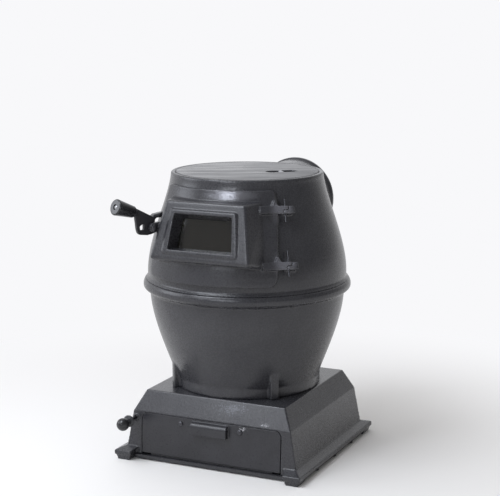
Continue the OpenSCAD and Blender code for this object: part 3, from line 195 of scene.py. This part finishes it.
STOVE_PAINT = painted_iron("satin_stove_paint", "#2e2e32", "#363639")
BARREL_PAINT = painted_iron("barrel_paint", "#2e2e32", "#363639")
DOOR_PAINT = painted_iron("door_paint_with_painted_glint", "#2e2e32", "#363639", grain=0.4, roughness=0.28)
BASE_PAINT = painted_iron("base_paint", "#2e2e32", "#363639", grain=0.5)
# The drawer's paint is drawn darker than the stove's: painted shade on the drawer front.
DRAWER_SHADED_PAINT = painted_iron("drawer_paint_shaded", "#232327", "#2c2c30", roughness=0.3)
LEVER_PAINT = painted_iron("lever_paint", "#242427", "#2e2e31", grain=0.2, roughness=0.34)
RAW_IRON = painted_iron("raw_cast_iron", "#33312f", "#453f39", grain=0.6, roughness=0.62)
print("irons:", [m.name for m in (STOVE_PAINT, BARREL_PAINT, DOOR_PAINT, BASE_PAINT, DRAWER_SHADED_PAINT,
                                  LEVER_PAINT, RAW_IRON)])

# %% [markdown]
# ## Painted highlights
# The door's top edge over the window catches the front lamp as a bright glint. A patch of the
# paint there is drawn smoother, partly metallic and lighter grey: a painted highlight that makes
# the glint as strong as it shows. The patch is a stretched ball: its middle and its reach along
# x, y and z turn each place into a distance that is 1 at the ball's edge. Every painted mark below
# takes the colour that the finish has so far and mixes a lighter grey into it, so that several can
# lie on one finish.


# %% A painted glint patch
def lay_highlight_grey(tree, share, highlight_grey):
    """Mixes a lighter grey into a finish's colour by a share from 0 to 1, for painted highlights."""
    colour = find(tree, "BSDF_PRINCIPLED").inputs["Base Color"]
    tone = add(tree, "ShaderNodeMix", {
        0: share, 6: colour.links[0].from_socket, 7: linear(highlight_grey)}, data_type="RGBA")
    tree.links.new(tone.outputs[2], colour)


def off_middle(tree, middle, reach):
    """Distance from a patch's middle, 1 where the patch ends. reach is along x, y and z."""
    place = add(tree, "ShaderNodeTexCoord").outputs["Object"]
    ball = add(tree, "ShaderNodeMapping", {"Vector": place, "Location": middle, "Scale": reach},
               vector_type="TEXTURE")
    length = add(tree, "ShaderNodeVectorMath", {0: ball.outputs["Vector"]}, operation="LENGTH")
    return length.outputs["Value"]


def paint_glint_patch(finish, middle, reach, smoother, metal, highlight_grey="#8f8f94"):
    """Paints a highlight patch on a finish: smoother, partly metallic and lighter grey."""
    tree = finish.node_tree
    shader = find(tree, "BSDF_PRINCIPLED")
    away = off_middle(tree, middle, reach)
    for socket, amount in (("Roughness", -smoother), ("Metallic", metal)):
        share = add(tree, "ShaderNodeMapRange", {
            "Value": away, "From Min": 0.4, "From Max": 1, "To Min": amount, "To Max": 0},
            interpolation_type="SMOOTHSTEP").outputs["Result"]
        if shader.inputs[socket].is_linked:
            before = shader.inputs[socket].links[0].from_socket
            share = add(tree, "ShaderNodeMath", {0: before, 1: share}, operation="ADD").outputs[0]
        tree.links.new(share, shader.inputs[socket])
    lay_highlight_grey(tree, shader.inputs["Metallic"].links[0].from_socket, highlight_grey)
    print(finish.name, "glint_painted round", middle)


# Middle and reach of the painted glint patch on the door's top edge
DOOR_EDGE, EDGE_REACH = (0.038, -0.15, 0.556), (0.065, 0.065, 0.014)  # metres
paint_glint_patch(DOOR_PAINT, DOOR_EDGE, EDGE_REACH, smoother=0.09, metal=0.46)

# %% [markdown]
# The door's straps and eyes rub on each other and on their pins, and their edges catch the light.
# Round each pin the paint is drawn in a lighter grey, which is both the wear where the eyes rub
# and a painted highlight on the straps. It is painted by distance: it is full round the middle of
# each pin and fades out within the reach of the straps, which on the barrel is shorter.


# %% Wear and painted highlight at the hinges
def wear_and_highlight_round_pins(finish, pins, reach, highlight_grey="#5c5c61"):
    """Lightens a finish within reach mm of the middle of each pin, for the eyes' rubbing and as a
    painted highlight.
    """
    tree = finish.node_tree
    place = add(tree, "ShaderNodeTexCoord").outputs["Object"]
    for pin in pins:
        low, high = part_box(pin)
        away = add(tree, "ShaderNodeVectorMath", {0: place, 1: (low + high) / 2},
                   operation="DISTANCE")
        wear_and_highlight = add(tree, "ShaderNodeMapRange", {
            "Value": away.outputs["Value"], "From Min": 0.4 * reach * MM, "From Max": reach * MM,
            "To Min": 1, "To Max": 0}, interpolation_type="SMOOTHSTEP")
        # Wear and painted highlight: a lighter grey round the pin
        lay_highlight_grey(tree, wear_and_highlight.outputs["Result"], highlight_grey)
    print(finish.name, "worn within", reach, "mm of", pins)


HINGE_PINS = ("upper_hinge_pin", "lower_hinge_pin")
wear_and_highlight_round_pins(DOOR_PAINT, HINGE_PINS, reach=37)
wear_and_highlight_round_pins(BARREL_PAINT, HINGE_PINS, reach=20)

# %% [markdown]
# The slope over the drawer and the top of the drawer's front sparkle in specks, where the sand
# skin catches the lamps. The specks are painted highlights, a lighter grey at the peaks of a fine
# noise. Within a patch the noise is lifted, so that more of its peaks pass the level at which a
# speck shows. Most real specks are smaller than a pixel, so they are drawn a little larger than one.

# %% Painted sparkle over the drawer
SPARKLE_SIZE = 2.4  # millimetres across


def paint_sparkle(finish, middle, reach, share, highlight_grey):
    """Paints lighter grey sparkle specks over a patch of a finish. share is how far the noise is
    lifted.
    """
    tree = finish.node_tree
    place = add(tree, "ShaderNodeTexCoord").outputs["Object"]
    loose = add(tree, "ShaderNodeMapRange", {
        "Value": off_middle(tree, middle, reach), "To Min": share, "To Max": 0})
    specks = add(tree, "ShaderNodeTexNoise", {"Vector": place, "Scale": per_mm(SPARKLE_SIZE), "Detail": 1})
    lifted = add(tree, "ShaderNodeMath", {0: specks.outputs["Fac"], 1: loose.outputs["Result"]},
                 operation="ADD")
    # Painted highlight: a lighter grey speck where the lifted noise passes this level
    painted_highlight = add(tree, "ShaderNodeMapRange", {
        "Value": lifted.outputs[0], "From Min": 0.84, "From Max": 0.92})
    lay_highlight_grey(tree, painted_highlight.outputs["Result"], highlight_grey)
    print(finish.name, "sparkle_painted round", middle)


# Each spot's middle and its reach, in metres
SLOPE = (0.045, -0.148, 0.128), (0.08, 0.03, 0.03)
SLOPE_FOOT = (0.118, -0.158, 0.107), (0.024, 0.012, 0.008)
RIGHT_PAN_BOLT = (0.073, -0.163, 0.093), (0.016, 0.012, 0.014)
paint_sparkle(BASE_PAINT, *SLOPE, share=0.43, highlight_grey="#6a6c72")
paint_sparkle(BASE_PAINT, *SLOPE_FOOT, share=0.41, highlight_grey="#a4a4a7")
paint_sparkle(DRAWER_SHADED_PAINT, *RIGHT_PAN_BOLT, share=0.39, highlight_grey="#a4a4a7")

# %% [markdown]
# ## The lid's polished top
# Kettles and pans slide about on the lid, and a cloth wipes it from side to side. That leaves
# long streaks where the paint is smoother, most of all on the side away from the pocket. The bar
# that the lid lifter hooks under is drawn light grey, a painted highlight on the raised bar. One
# noise, stretched along the way of the cloth, drives the roughness, the grey and a very slight
# relief, and a slow slope from left to right is added to the roughness.

# %% Lid paint
WIPED_WAY = math.radians(28)  # from the x axis
STREAK_WIDTH, STREAK_STRETCH = 16, 8  # millimetres, and times as long as wide
POCKET_OUT, POCKET_WAY = 70.3 * MM, math.radians(15)  # from the lid's middle and the x axis
HIGHLIGHT_REACH = 9 * MM
SLOPE_END = 0.14  # metres to each side, near the lid's edge


def lid_paint(pocket):
    """Stove paint with wiped streaks, and a painted highlight on the lifter bar in the pocket's
    middle.
    """
    material, tree, shader, place = new_material("wiped_stove_paint")
    long_way = add(tree, "ShaderNodeMapping", {
        "Vector": place, "Rotation": (0, 0, WIPED_WAY), "Scale": (STREAK_STRETCH, 1, 1)},
        vector_type="TEXTURE")
    wipe = add(tree, "ShaderNodeTexNoise", {
        "Vector": long_way.outputs["Vector"], "Scale": per_mm(STREAK_WIDTH), "Detail": 4,
        "Roughness": 0.6})
    across = add(tree, "ShaderNodeSeparateXYZ", {"Vector": place})
    slope = add(tree, "ShaderNodeMapRange", {
        "Value": across.outputs["X"], "From Min": -SLOPE_END, "From Max": SLOPE_END,
        "To Min": -0.03, "To Max": 0.12})
    streak = add(tree, "ShaderNodeMapRange", {
        "Value": wipe.outputs["Fac"], "From Min": 0.3, "From Max": 0.7,
        "To Min": 0.18, "To Max": 0.4})
    rough = add(tree, "ShaderNodeMath", {0: streak.outputs["Result"], 1: slope.outputs["Result"]},
                operation="ADD", use_clamp=True)
    from_bar = add(tree, "ShaderNodeVectorMath", {0: place, 1: pocket}, operation="DISTANCE")
    painted_highlight = add(tree, "ShaderNodeMapRange", {
        "Value": from_bar.outputs["Value"], "From Min": HIGHLIGHT_REACH / 2, "From Max": HIGHLIGHT_REACH,
        "To Min": 1, "To Max": 0})
    tint = add(tree, "ShaderNodeMix", {
        0: wipe.outputs["Fac"], 6: linear("#2b2b2f"), 7: linear("#3c3c40")}, data_type="RGBA")
    tree.links.new(tint.outputs[2], shader.inputs["Base Color"])
    # Painted highlight: the lifter bar is drawn light grey
    lay_highlight_grey(tree, painted_highlight.outputs["Result"], "#a3a3a6")
    skin = add(tree, "ShaderNodeBump", {
        "Height": wipe.outputs["Fac"], "Strength": 0.4, "Distance": 0.5 * MM})
    tree.links.new(rough.outputs[0], shader.inputs["Roughness"])
    tree.links.new(skin.outputs["Normal"], shader.inputs["Normal"])
    return material


lid_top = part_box("lid")[1].z
lid_pocket = (
    POCKET_OUT * math.cos(POCKET_WAY), axis_y + POCKET_OUT * math.sin(POCKET_WAY), lid_top)
LID_PAINT = lid_paint(lid_pocket)
print("lid paint bare round", [round(v, 3) for v in lid_pocket])

# %% [markdown]
# ## Steel, plated and blackened
# Pins, bolts and screws are cold-headed or turned from steel. The hinge pins, the latch's bolt
# and nut, the pan's bolts, the shaker's rod and the screws under the base are blackened in an
# oxide bath, and the others are zinc-plated. Both are bare metal to the eye: the colour is the
# metal's own reflection, so metallic is 1 and the IOR stays as it is. Fingers and heat leave
# smears, which a noise puts into the tone and the roughness.


# %% Steel
def steel(name, dull, bright):
    """Plated or blackened steel: metal, a little uneven from handling."""
    material, tree, shader, place = new_material(name)
    smear = add(tree, "ShaderNodeTexNoise", {"Vector": place, "Scale": per_mm(2.5), "Detail": 3})
    rough = add(tree, "ShaderNodeMapRange", {
        "Value": smear.outputs["Fac"], "To Min": 0.24, "To Max": 0.46})
    tone = add(tree, "ShaderNodeMix", {
        0: smear.outputs["Fac"], 6: linear(dull), 7: linear(bright)}, data_type="RGBA")
    tree.links.new(tone.outputs[2], shader.inputs["Base Color"])
    tree.links.new(rough.outputs["Result"], shader.inputs["Roughness"])
    shader.inputs["Metallic"].default_value = 1
    return material


STEEL = steel("plated_steel", "#8f9092", "#b9babc")
BLACK_STEEL = steel("black_oxide_steel", "#3a3a3d", "#626266")
print("steels:", STEEL.name, BLACK_STEEL.name)

# %% [markdown]
# ## The ash pan's sheet
# The pan is folded from cold-rolled sheet with baked grey paint. Ash settles on it and dulls it
# in patches, so one wide noise lightens the paint and roughens it at the same places.


# %% Pan sheet
def pan_sheet():
    """Baked grey paint on sheet, dulled by ash."""
    material, tree, shader, place = new_material("pan_sheet")
    ash = add(tree, "ShaderNodeTexNoise", {"Vector": place, "Scale": per_mm(24), "Detail": 5})
    tone = add(tree, "ShaderNodeMix", {
        0: ash.outputs["Fac"], 6: linear("#3d3d3f"), 7: linear("#57565a")}, data_type="RGBA")
    rough = add(tree, "ShaderNodeMapRange", {
        "Value": ash.outputs["Fac"], "To Min": 0.42, "To Max": 0.66})
    tree.links.new(tone.outputs[2], shader.inputs["Base Color"])
    tree.links.new(rough.outputs["Result"], shader.inputs["Roughness"])
    return material


PAN = pan_sheet()
print("sheet:", PAN.name)

# %% [markdown]
# ## Black thermoset
# The latch's grip and the shaker's knob are pressed in a hot mould from a black thermoset that
# stands the heat. It comes out glossy, with the faint waviness of a moulded face, so its glints
# are sharper than those of the paint round it.


# %% Black thermoset
def black_thermoset():
    """Moulded black grip: glossy, and a little wavy."""
    material, tree, shader, place = new_material("black_thermoset")
    flow = add(tree, "ShaderNodeTexNoise", {"Vector": place, "Scale": per_mm(9), "Detail": 2})
    tone = add(tree, "ShaderNodeMix", {
        0: flow.outputs["Fac"], 6: linear("#19191b"), 7: linear("#2a2a2c")}, data_type="RGBA")
    rough = add(tree, "ShaderNodeMapRange", {
        "Value": flow.outputs["Fac"], "To Min": 0.14, "To Max": 0.3})
    skin = add(tree, "ShaderNodeBump", {
        "Height": flow.outputs["Fac"], "Strength": 0.3, "Distance": 0.2 * MM})
    tree.links.new(tone.outputs[2], shader.inputs["Base Color"])
    tree.links.new(rough.outputs["Result"], shader.inputs["Roughness"])
    tree.links.new(skin.outputs["Normal"], shader.inputs["Normal"])
    return material


GRIP = black_thermoset()
print("grip:", GRIP.name)

# %% [markdown]
# ## Glass fibre
# The sealing ropes are laid from glass fibre, and the gaskets are pressed from it and blackened
# with graphite. Both are matt and slightly fluffy: a high roughness hides every glint, and a
# fine noise breaks the surface up. A fibre is far thinner than a pixel, so the noise is drawn
# at the size of a tuft.


# %% Glass fibre
def glass_fibre(name, dark, light):
    """Gasket sheet or sealing rope: matt, with tufts."""
    material, tree, shader, place = new_material(name)
    fibre = add(tree, "ShaderNodeTexNoise", {"Vector": place, "Scale": per_mm(1.6), "Detail": 4})
    tone = add(tree, "ShaderNodeMix", {
        0: fibre.outputs["Fac"], 6: linear(dark), 7: linear(light)}, data_type="RGBA")
    skin = add(tree, "ShaderNodeBump", {
        "Height": fibre.outputs["Fac"], "Strength": 0.6, "Distance": 0.3 * MM})
    tree.links.new(tone.outputs[2], shader.inputs["Base Color"])
    tree.links.new(skin.outputs["Normal"], shader.inputs["Normal"])
    shader.inputs["Roughness"].default_value = 0.9
    return material


GRAPHITE = glass_fibre("graphited_fibre", "#1d1d1e", "#2c2c2d")
ROPE = glass_fibre("rope_fibre", "#8d887c", "#bdb8ab")
print("fibres:", GRAPHITE.name, ROPE.name)

# %% [markdown]
# ## The window
# The window is a flat sheet of glass-ceramic, which stands the fire. It is clear with a smoky
# amber cast, and soot leaves a faint haze. Transmission lets the eye through to the dark
# firebox, and the rest of the weight keeps a little of the glass's own colour.


# %% Stove glass
def stove_glass():
    """Glass-ceramic with a smoky cast and a faint haze of soot."""
    material, tree, shader, place = new_material("stove_glass")
    haze = add(tree, "ShaderNodeTexNoise", {"Vector": place, "Scale": per_mm(30), "Detail": 4})
    rough = add(tree, "ShaderNodeMapRange", {
        "Value": haze.outputs["Fac"], "To Min": 0.03, "To Max": 0.12})
    tone = add(tree, "ShaderNodeMix", {
        0: haze.outputs["Fac"], 6: linear("#555148"), 7: linear("#676257")}, data_type="RGBA")
    tree.links.new(tone.outputs[2], shader.inputs["Base Color"])
    tree.links.new(rough.outputs["Result"], shader.inputs["Roughness"])
    shader.inputs["IOR"].default_value = 1.52
    shader.inputs["Transmission Weight"].default_value = 0.92
    return material


GLASS = stove_glass()
print("window:", GLASS.name)

# %% [markdown]
# ## Castings with soft edges
# A CAD solid has razor edges, and no casting does: sand can't hold a sharp corner, and paint
# rounds it further. A voxel remesh turns the solid into an even net, and a few smoothing
# steps round every edge and fill every inner corner by a millimetre or two, like the fillets of
# a real pattern. The finer the grid, the smaller the radius, so the door gets a finer one. A
# piece that comes out with very many faces is thinned, which flat areas don't show.

# %% Castings
MOST_TRIANGLES = 190000


def apply_modifiers(piece):
    """Makes a piece's modifiers permanent."""
    bpy.context.view_layer.update()
    evaluated = piece.evaluated_get(bpy.context.evaluated_depsgraph_get())
    mesh = bpy.data.meshes.new_from_object(evaluated)
    piece.modifiers.clear()
    piece.data = mesh


def cast(node, grid, rounds, finish):
    """Replaces a CAD node by its casting: grid in mm, rounds of smoothing, and its finish."""
    piece = bpy.data.objects.new("cast_" + node, nodes[node].data.copy())
    scene.collection.objects.link(piece)
    skin = piece.modifiers.new("skin", "REMESH")
    skin.mode, skin.voxel_size, skin.use_smooth_shade = "VOXEL", grid * MM, True
    soften = piece.modifiers.new("soften", "SMOOTH")
    soften.factor, soften.iterations = 0.5, rounds
    apply_modifiers(piece)
    triangles = 2 * len(piece.data.polygons)
    if triangles > MOST_TRIANGLES:
        thin = piece.modifiers.new("thin", "DECIMATE")
        thin.ratio = MOST_TRIANGLES / triangles
        apply_modifiers(piece)
    piece.data.materials.clear()
    piece.data.materials.append(finish)
    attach(piece, body_of_node[node])
    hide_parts(node)
    print(piece.name, len(piece.data.polygons), "faces")


# Each iron piece's grid in mm, its rounds of smoothing and its paint
IRON_PIECES = {
    "fire_pot": (2.3, 3, STOVE_PAINT),
    "flue_collar": (1.7, 4, STOVE_PAINT),
    "ash_base": (1.7, 1, BASE_PAINT),
    "upper_body": (2.1, 3, BARREL_PAINT),
    "lid": (1.3, 2, LID_PAINT),
    "feed_door": (1.2, 4, DOOR_PAINT),
    "drawer_front": (1.0, 2, DRAWER_SHADED_PAINT),
    "latch_lever": (0.6, 4, LEVER_PAINT),
    "shaker_collar": (0.6, 4, LEVER_PAINT),
}
for node, (grid, rounds, paint) in IRON_PIECES.items():
    cast(node, grid, rounds, paint)

# %% [markdown]
# The two gaskets are cut from pressed fibre sheet, and their edges go soft in the same way. A
# finer grid keeps their thin webs.

# %% Gaskets
cast("glass_gasket", 0.45, 2, GRAPHITE)
cast("collar_gasket", 0.75, 1, GRAPHITE)

# %% [markdown]
# ## The way of the sealing ropes
# Two ropes of glass fibre seal the stove: one lies in the pot's rim under the barrel, the other
# in the door's flange. Each has to follow the middle of its CAD solid. The rim's rope is a
# circle, which its box gives. The door's rope goes round a leaning window on a curved door, so
# its middle is found by casting rays through the solid from the front and the back.


# %% Rope paths
def ring_path(node, count):
    """Points along the middle of a ring-shaped node that faces the front, from rays along y."""
    mesh = nodes[node].data
    solid = BVHTree.FromPolygons([v.co for v in mesh.vertices], [p.vertices for p in mesh.polygons])
    low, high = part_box(node)
    middle = (low + high) / 2
    reach, step = (high - low).length / 2, 0.5 * MM
    path = []
    for i in range(count):
        angle = math.tau * i / count
        ray = Vector((math.cos(angle), 0, math.sin(angle)))
        inside = []
        for k in range(int(reach / step)):
            spot = middle + ray * k * step
            front = solid.ray_cast(Vector((spot.x, low.y - 1, spot.z)), Vector((0, 1, 0)))[0]
            if front:
                back = solid.ray_cast(Vector((spot.x, high.y + 1, spot.z)), Vector((0, -1, 0)))[0]
                inside.append((front + back) / 2)
        path.append(inside[len(inside) // 2])
    return path


def even_steps(path, step):
    """The closed path again, with points this far apart."""
    closed = path + path[:1]
    lengths = [0]
    for a, b in zip(closed, closed[1:]):
        lengths.append(lengths[-1] + (b - a).length)
    count = round(lengths[-1] / step)
    points, k = [], 0
    for i in range(count):
        at = lengths[-1] * i / count
        while lengths[k + 1] < at:
            k += 1
        share = (at - lengths[k]) / (lengths[k + 1] - lengths[k])
        points.append(closed[k].lerp(closed[k + 1], share))
    return points


RIM_STEP, DOOR_STEP = 1.0 * MM, 0.9 * MM
RIM_POINTS, DOOR_POINTS = 720, 180

rim_low, rim_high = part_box("belt_rope")
rim_rope_r = (rim_high.z - rim_low.z) / 2
rim_r = (rim_high.x - rim_low.x) / 2 - rim_rope_r
rim_z = (rim_low.z + rim_high.z) / 2
rim_turns = [math.tau * i / RIM_POINTS for i in range(RIM_POINTS)]
rim_circle = [Vector((rim_r * math.cos(a), axis_y + rim_r * math.sin(a), rim_z)) for a in rim_turns]
rim_path = even_steps(rim_circle, RIM_STEP)
door_path = even_steps(ring_path("door_rope", DOOR_POINTS), DOOR_STEP)
rope_lengths = [round(len(rim_path) * RIM_STEP, 3), round(len(door_path) * DOOR_STEP, 3)]
print("ropes are", rope_lengths, "m long round the rim and the door")

# %% [markdown]
# ## Laying up the ropes
# The CAD model only holds the ropes' outer shape, so each is laid up here from its strands. The
# rim's rope is a round twist: each strand circles the path. The door's rope is a flat braid, in
# which each strand swings from edge to edge and passes over and under its neighbours. One
# function lays both, and a small formula says how a strand swings. A tube round each strand is
# enough: the fibre material does the rest.

# %% Ropes
STRAND_SIDES = 6


def directions(line, i):
    """At point i of a closed line: along it, out from the stove's axis, and across both."""
    along = (line[(i + 1) % len(line)] - line[i - 1]).normalized()
    out = Vector((line[i].x, line[i].y - axis_y, 0)).normalized()
    return along, out, along.cross(out).normalized()


def strand_line(path, swing, turns, start):
    """A strand's own line round a closed path, from its turn at the start."""
    line = []
    for i, point in enumerate(path):
        along, out, across = directions(path, i)
        lift, side = swing(math.tau * (turns * i / len(path) + start))
        line.append(point + (out * lift + across * side) * MM)
    return line


def tube(line, radius, sides, first):
    """Vertices and faces of a closed tube round a line. first is its first vertex's number."""
    verts, faces = [], []
    for i, point in enumerate(line):
        along, out, across = directions(line, i)
        out = across.cross(along)
        for s in range(sides):
            turn = math.tau * s / sides
            verts.append(point + radius * (math.cos(turn) * out + math.sin(turn) * across))
    for i in range(len(line)):
        here, ahead = first + i * sides, first + (i + 1) % len(line) * sides
        for s in range(sides):
            t = (s + 1) % sides
            faces.append((here + s, ahead + s, ahead + t, here + t))
    return verts, faces


def lay_rope(node, path, strands, strand_r, swing, turns):
    """Replaces a CAD rope by its strands. strand_r is in mm, and so is swing, which gives a
    strand's offsets, out of the path's plane and across it, at an angle of its turn."""
    verts, faces = [], []
    for j in range(strands):
        line = strand_line(path, swing, turns, j / strands)
        more_verts, more_faces = tube(line, strand_r * MM, STRAND_SIDES, len(verts))
        verts += more_verts
        faces += more_faces
    mesh = bpy.data.meshes.new(node)
    mesh.from_pydata(verts, [], faces)
    mesh.materials.append(ROPE)
    for face in mesh.polygons:
        face.use_smooth = True
    piece = bpy.data.objects.new("laid_" + node, mesh)
    scene.collection.objects.link(piece)
    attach(piece, body_of_node[node])
    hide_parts(node)
    print(piece.name, len(faces), "faces")


TWIST_R = rim_rope_r / MM * 0.53
BRAID_LIFT, BRAID_SWING, BRAID_STRAND_R = 0.6, 2.6, 0.85  # millimetres


def round_twist(a):
    """A strand that circles the middle of the rim's rope."""
    return TWIST_R * math.sin(a), TWIST_R * math.cos(a)


def flat_braid(a):
    """A strand that swings across the door's rope, and twice as fast over and under."""
    return BRAID_LIFT * math.sin(2 * a), BRAID_SWING * math.cos(a)


lay_rope("belt_rope", rim_path, strands=4, strand_r=rim_rope_r / MM - TWIST_R,
         swing=round_twist, turns=96)
lay_rope("door_rope", door_path, strands=5, strand_r=BRAID_STRAND_R,
         swing=flat_braid, turns=40)

# %% [markdown]
# ## CAD nodes that keep their shape
# Bolts, pins, the grip and the sheet parts are machined or moulded, so their CAD shape is
# already right. The grate keeps the bare skin that it was cast with, since no paint would last
# under the fire. They all get their materials in place.

# %% Finishes in place
KEPT = {
    STEEL: ["pot_bolts", "body_bolts", "body_nuts", "collar_bolts", "clip_screws", "glass_clips",
            "grip_screw", "pan_nuts"],
    BLACK_STEEL: ["plate_screws", "upper_hinge_pin", "lower_hinge_pin", "latch_bolt", "latch_nut",
                  "pan_bolts", "shaker_rod"],
    GRIP: ["latch_grip", "shaker_knob"],
    PAN: ["ash_pan"],
    RAW_IRON: ["grate_frame", "shaker_grate"],
    STOVE_PAINT: ["bottom_plate"],
    GLASS: ["door_glass"],
}
for finish, members in KEPT.items():
    for node in members:
        for held in nodes[node].material_slots:
            held.material = finish
print("finished in place:", sum(len(members) for members in KEPT.values()))

# %% [markdown]
# ## The floor
# A plain pale floor runs to the horizon. Close to the stove it is a matt sheet, which takes the
# stove's soft shadow. Away from that shadow it fades to a plain glowing white for the eye and
# for reflections, as a studio's paper roll does, so no horizon shows.

# %% Floor
FLOOR_REACH = 150  # metres each way
SHADOW_ENDS = (0.35, 1.1)  # metres from the stove, where the white begins and where it is full
STUDIO_WHITE = "#f8f8fa"


def studio_floor():
    """A wide pale sheet under the stove."""
    mesh = bpy.data.meshes.new("floor")
    mesh.from_pydata([
        (-FLOOR_REACH, -FLOOR_REACH, 0), (FLOOR_REACH, -FLOOR_REACH, 0),
        (FLOOR_REACH, FLOOR_REACH, 0), (-FLOOR_REACH, FLOOR_REACH, 0)], [], [(0, 1, 2, 3)])
    floor = bpy.data.objects.new("floor", mesh)
    scene.collection.objects.link(floor)
    material, tree, shader, place = new_material("pale_floor")
    cloud = add(tree, "ShaderNodeTexNoise", {"Vector": place, "Scale": 0.6, "Detail": 2})
    tone = add(tree, "ShaderNodeMix", {
        0: cloud.outputs["Fac"], 6: linear("#e8e6e3"), 7: linear("#edebe8")}, data_type="RGBA")
    tree.links.new(tone.outputs[2], shader.inputs["Base Color"])
    shader.inputs["Roughness"].default_value = 0.8
    away = add(tree, "ShaderNodeVectorMath", {0: place}, operation="LENGTH")
    fade = add(tree, "ShaderNodeMapRange", {
        "Value": away.outputs["Value"], "From Min": SHADOW_ENDS[0], "From Max": SHADOW_ENDS[1]},
        interpolation_type="SMOOTHSTEP")
    path = add(tree, "ShaderNodeLightPath").outputs
    eye = path["Is Camera Ray"]
    for ray in ("Is Glossy Ray", "Is Transmission Ray"):
        eye = add(tree, "ShaderNodeMath", {0: eye, 1: path[ray]}, operation="MAXIMUM").outputs[0]
    share = add(tree, "ShaderNodeMath", {0: eye, 1: fade.outputs["Result"]}, operation="MULTIPLY")
    white = add(tree, "ShaderNodeEmission", {"Color": linear(STUDIO_WHITE), "Strength": 1.0})
    both = add(tree, "ShaderNodeMixShader", {
        0: share.outputs[0], 1: shader.outputs["BSDF"], 2: white.outputs["Emission"]})
    tree.links.new(both.outputs["Shader"], find(tree, "OUTPUT_MATERIAL").inputs["Surface"])
    mesh.materials.append(material)
    return floor


print("floor:", studio_floor().name)

# %% [markdown]
# ## The lamps
# Dark satin paint shows its lamps more than its colour, so each lamp was placed by what it has
# to do in the paint. The large one above and to the left lights the lid and every slope. One
# as big as a window, far to the left, draws the soft streak down the barrel and the pot. A
# small one fills the front. A long, low box in front is mirrored in the door's top edge, where
# the painted highlight patch makes it the brightest glint on the front. A weak one stands behind
# for the views from the back.


# %% Lamps
def soft_lamp(name, azimuth, elevation, distance, size, watts, height=None):
    """A flat soft lamp that looks at the stove from these angles, in degrees. It is square
    unless height is given. Lengths are in metres."""
    data = bpy.data.lights.new(name, "AREA")
    data.energy, data.shape = watts, "RECTANGLE"
    data.size, data.size_y = size, height or size
    data.color = linear("#f1f6ff")[:3]
    lamp = bpy.data.objects.new(name, data)
    lamp.location = aim + distance * toward(math.radians(azimuth), math.radians(elevation))
    lamp.rotation_euler = (aim - lamp.location).to_track_quat("-Z", "Y").to_euler()
    scene.collection.objects.link(lamp)
    print(name, watts, "W at", [round(v, 2) for v in lamp.location])


soft_lamp("overhead", azimuth=-30, elevation=54, distance=2.4, size=1.1, watts=32)
soft_lamp("left_window", azimuth=-68, elevation=22, distance=2.6, size=1.2, watts=14)
soft_lamp("front_fill", azimuth=-26, elevation=30, distance=2.6, size=0.6, watts=5.5)
soft_lamp("front_box", azimuth=-1.6, elevation=21.5, distance=2.6, size=0.9, watts=10, height=0.16)
soft_lamp("back_window", azimuth=-158, elevation=26, distance=3.0, size=1.7, watts=3)

# %% [markdown]
# ## The room
# The room is white to the eye, so the stove stands on a clean page. To the light it is bright
# on the far left and dimmer elsewhere, which gives the round forms a lit and a shaded side. A
# smooth ramp over the direction does that without an edge that would show in the paint.

# %% Room
BRIGHT_SIDE = toward(math.radians(-120), math.radians(15))
DIM = 0.33  # of the bright side's strength


def pale_room():
    """World that is white to the eye, and brightest on one side to the light."""
    world = bpy.data.worlds.new("pale_room")
    world.use_nodes = True
    tree = world.node_tree
    way = add(tree, "ShaderNodeTexCoord").outputs["Generated"]
    facing = add(tree, "ShaderNodeVectorMath", {0: way, 1: BRIGHT_SIDE}, operation="DOT_PRODUCT")
    glow = add(tree, "ShaderNodeMapRange", {
        "Value": facing.outputs["Value"], "From Min": -0.4, "From Max": 0.8,
        "To Min": DIM, "To Max": 1.0}, interpolation_type="SMOOTHSTEP")
    seen = add(tree, "ShaderNodeLightPath").outputs["Is Camera Ray"]
    strength = add(tree, "ShaderNodeMix", {0: seen, 2: glow.outputs["Result"], 3: 1.0})
    backdrop = find(tree, "BACKGROUND")
    backdrop.inputs["Color"].default_value = linear(STUDIO_WHITE)
    tree.links.new(strength.outputs[0], backdrop.inputs["Strength"])
    return world


scene.world = pale_room()
scene.view_settings.view_transform = "Standard"
print("world:", scene.world.name, "view transform:", scene.view_settings.view_transform)
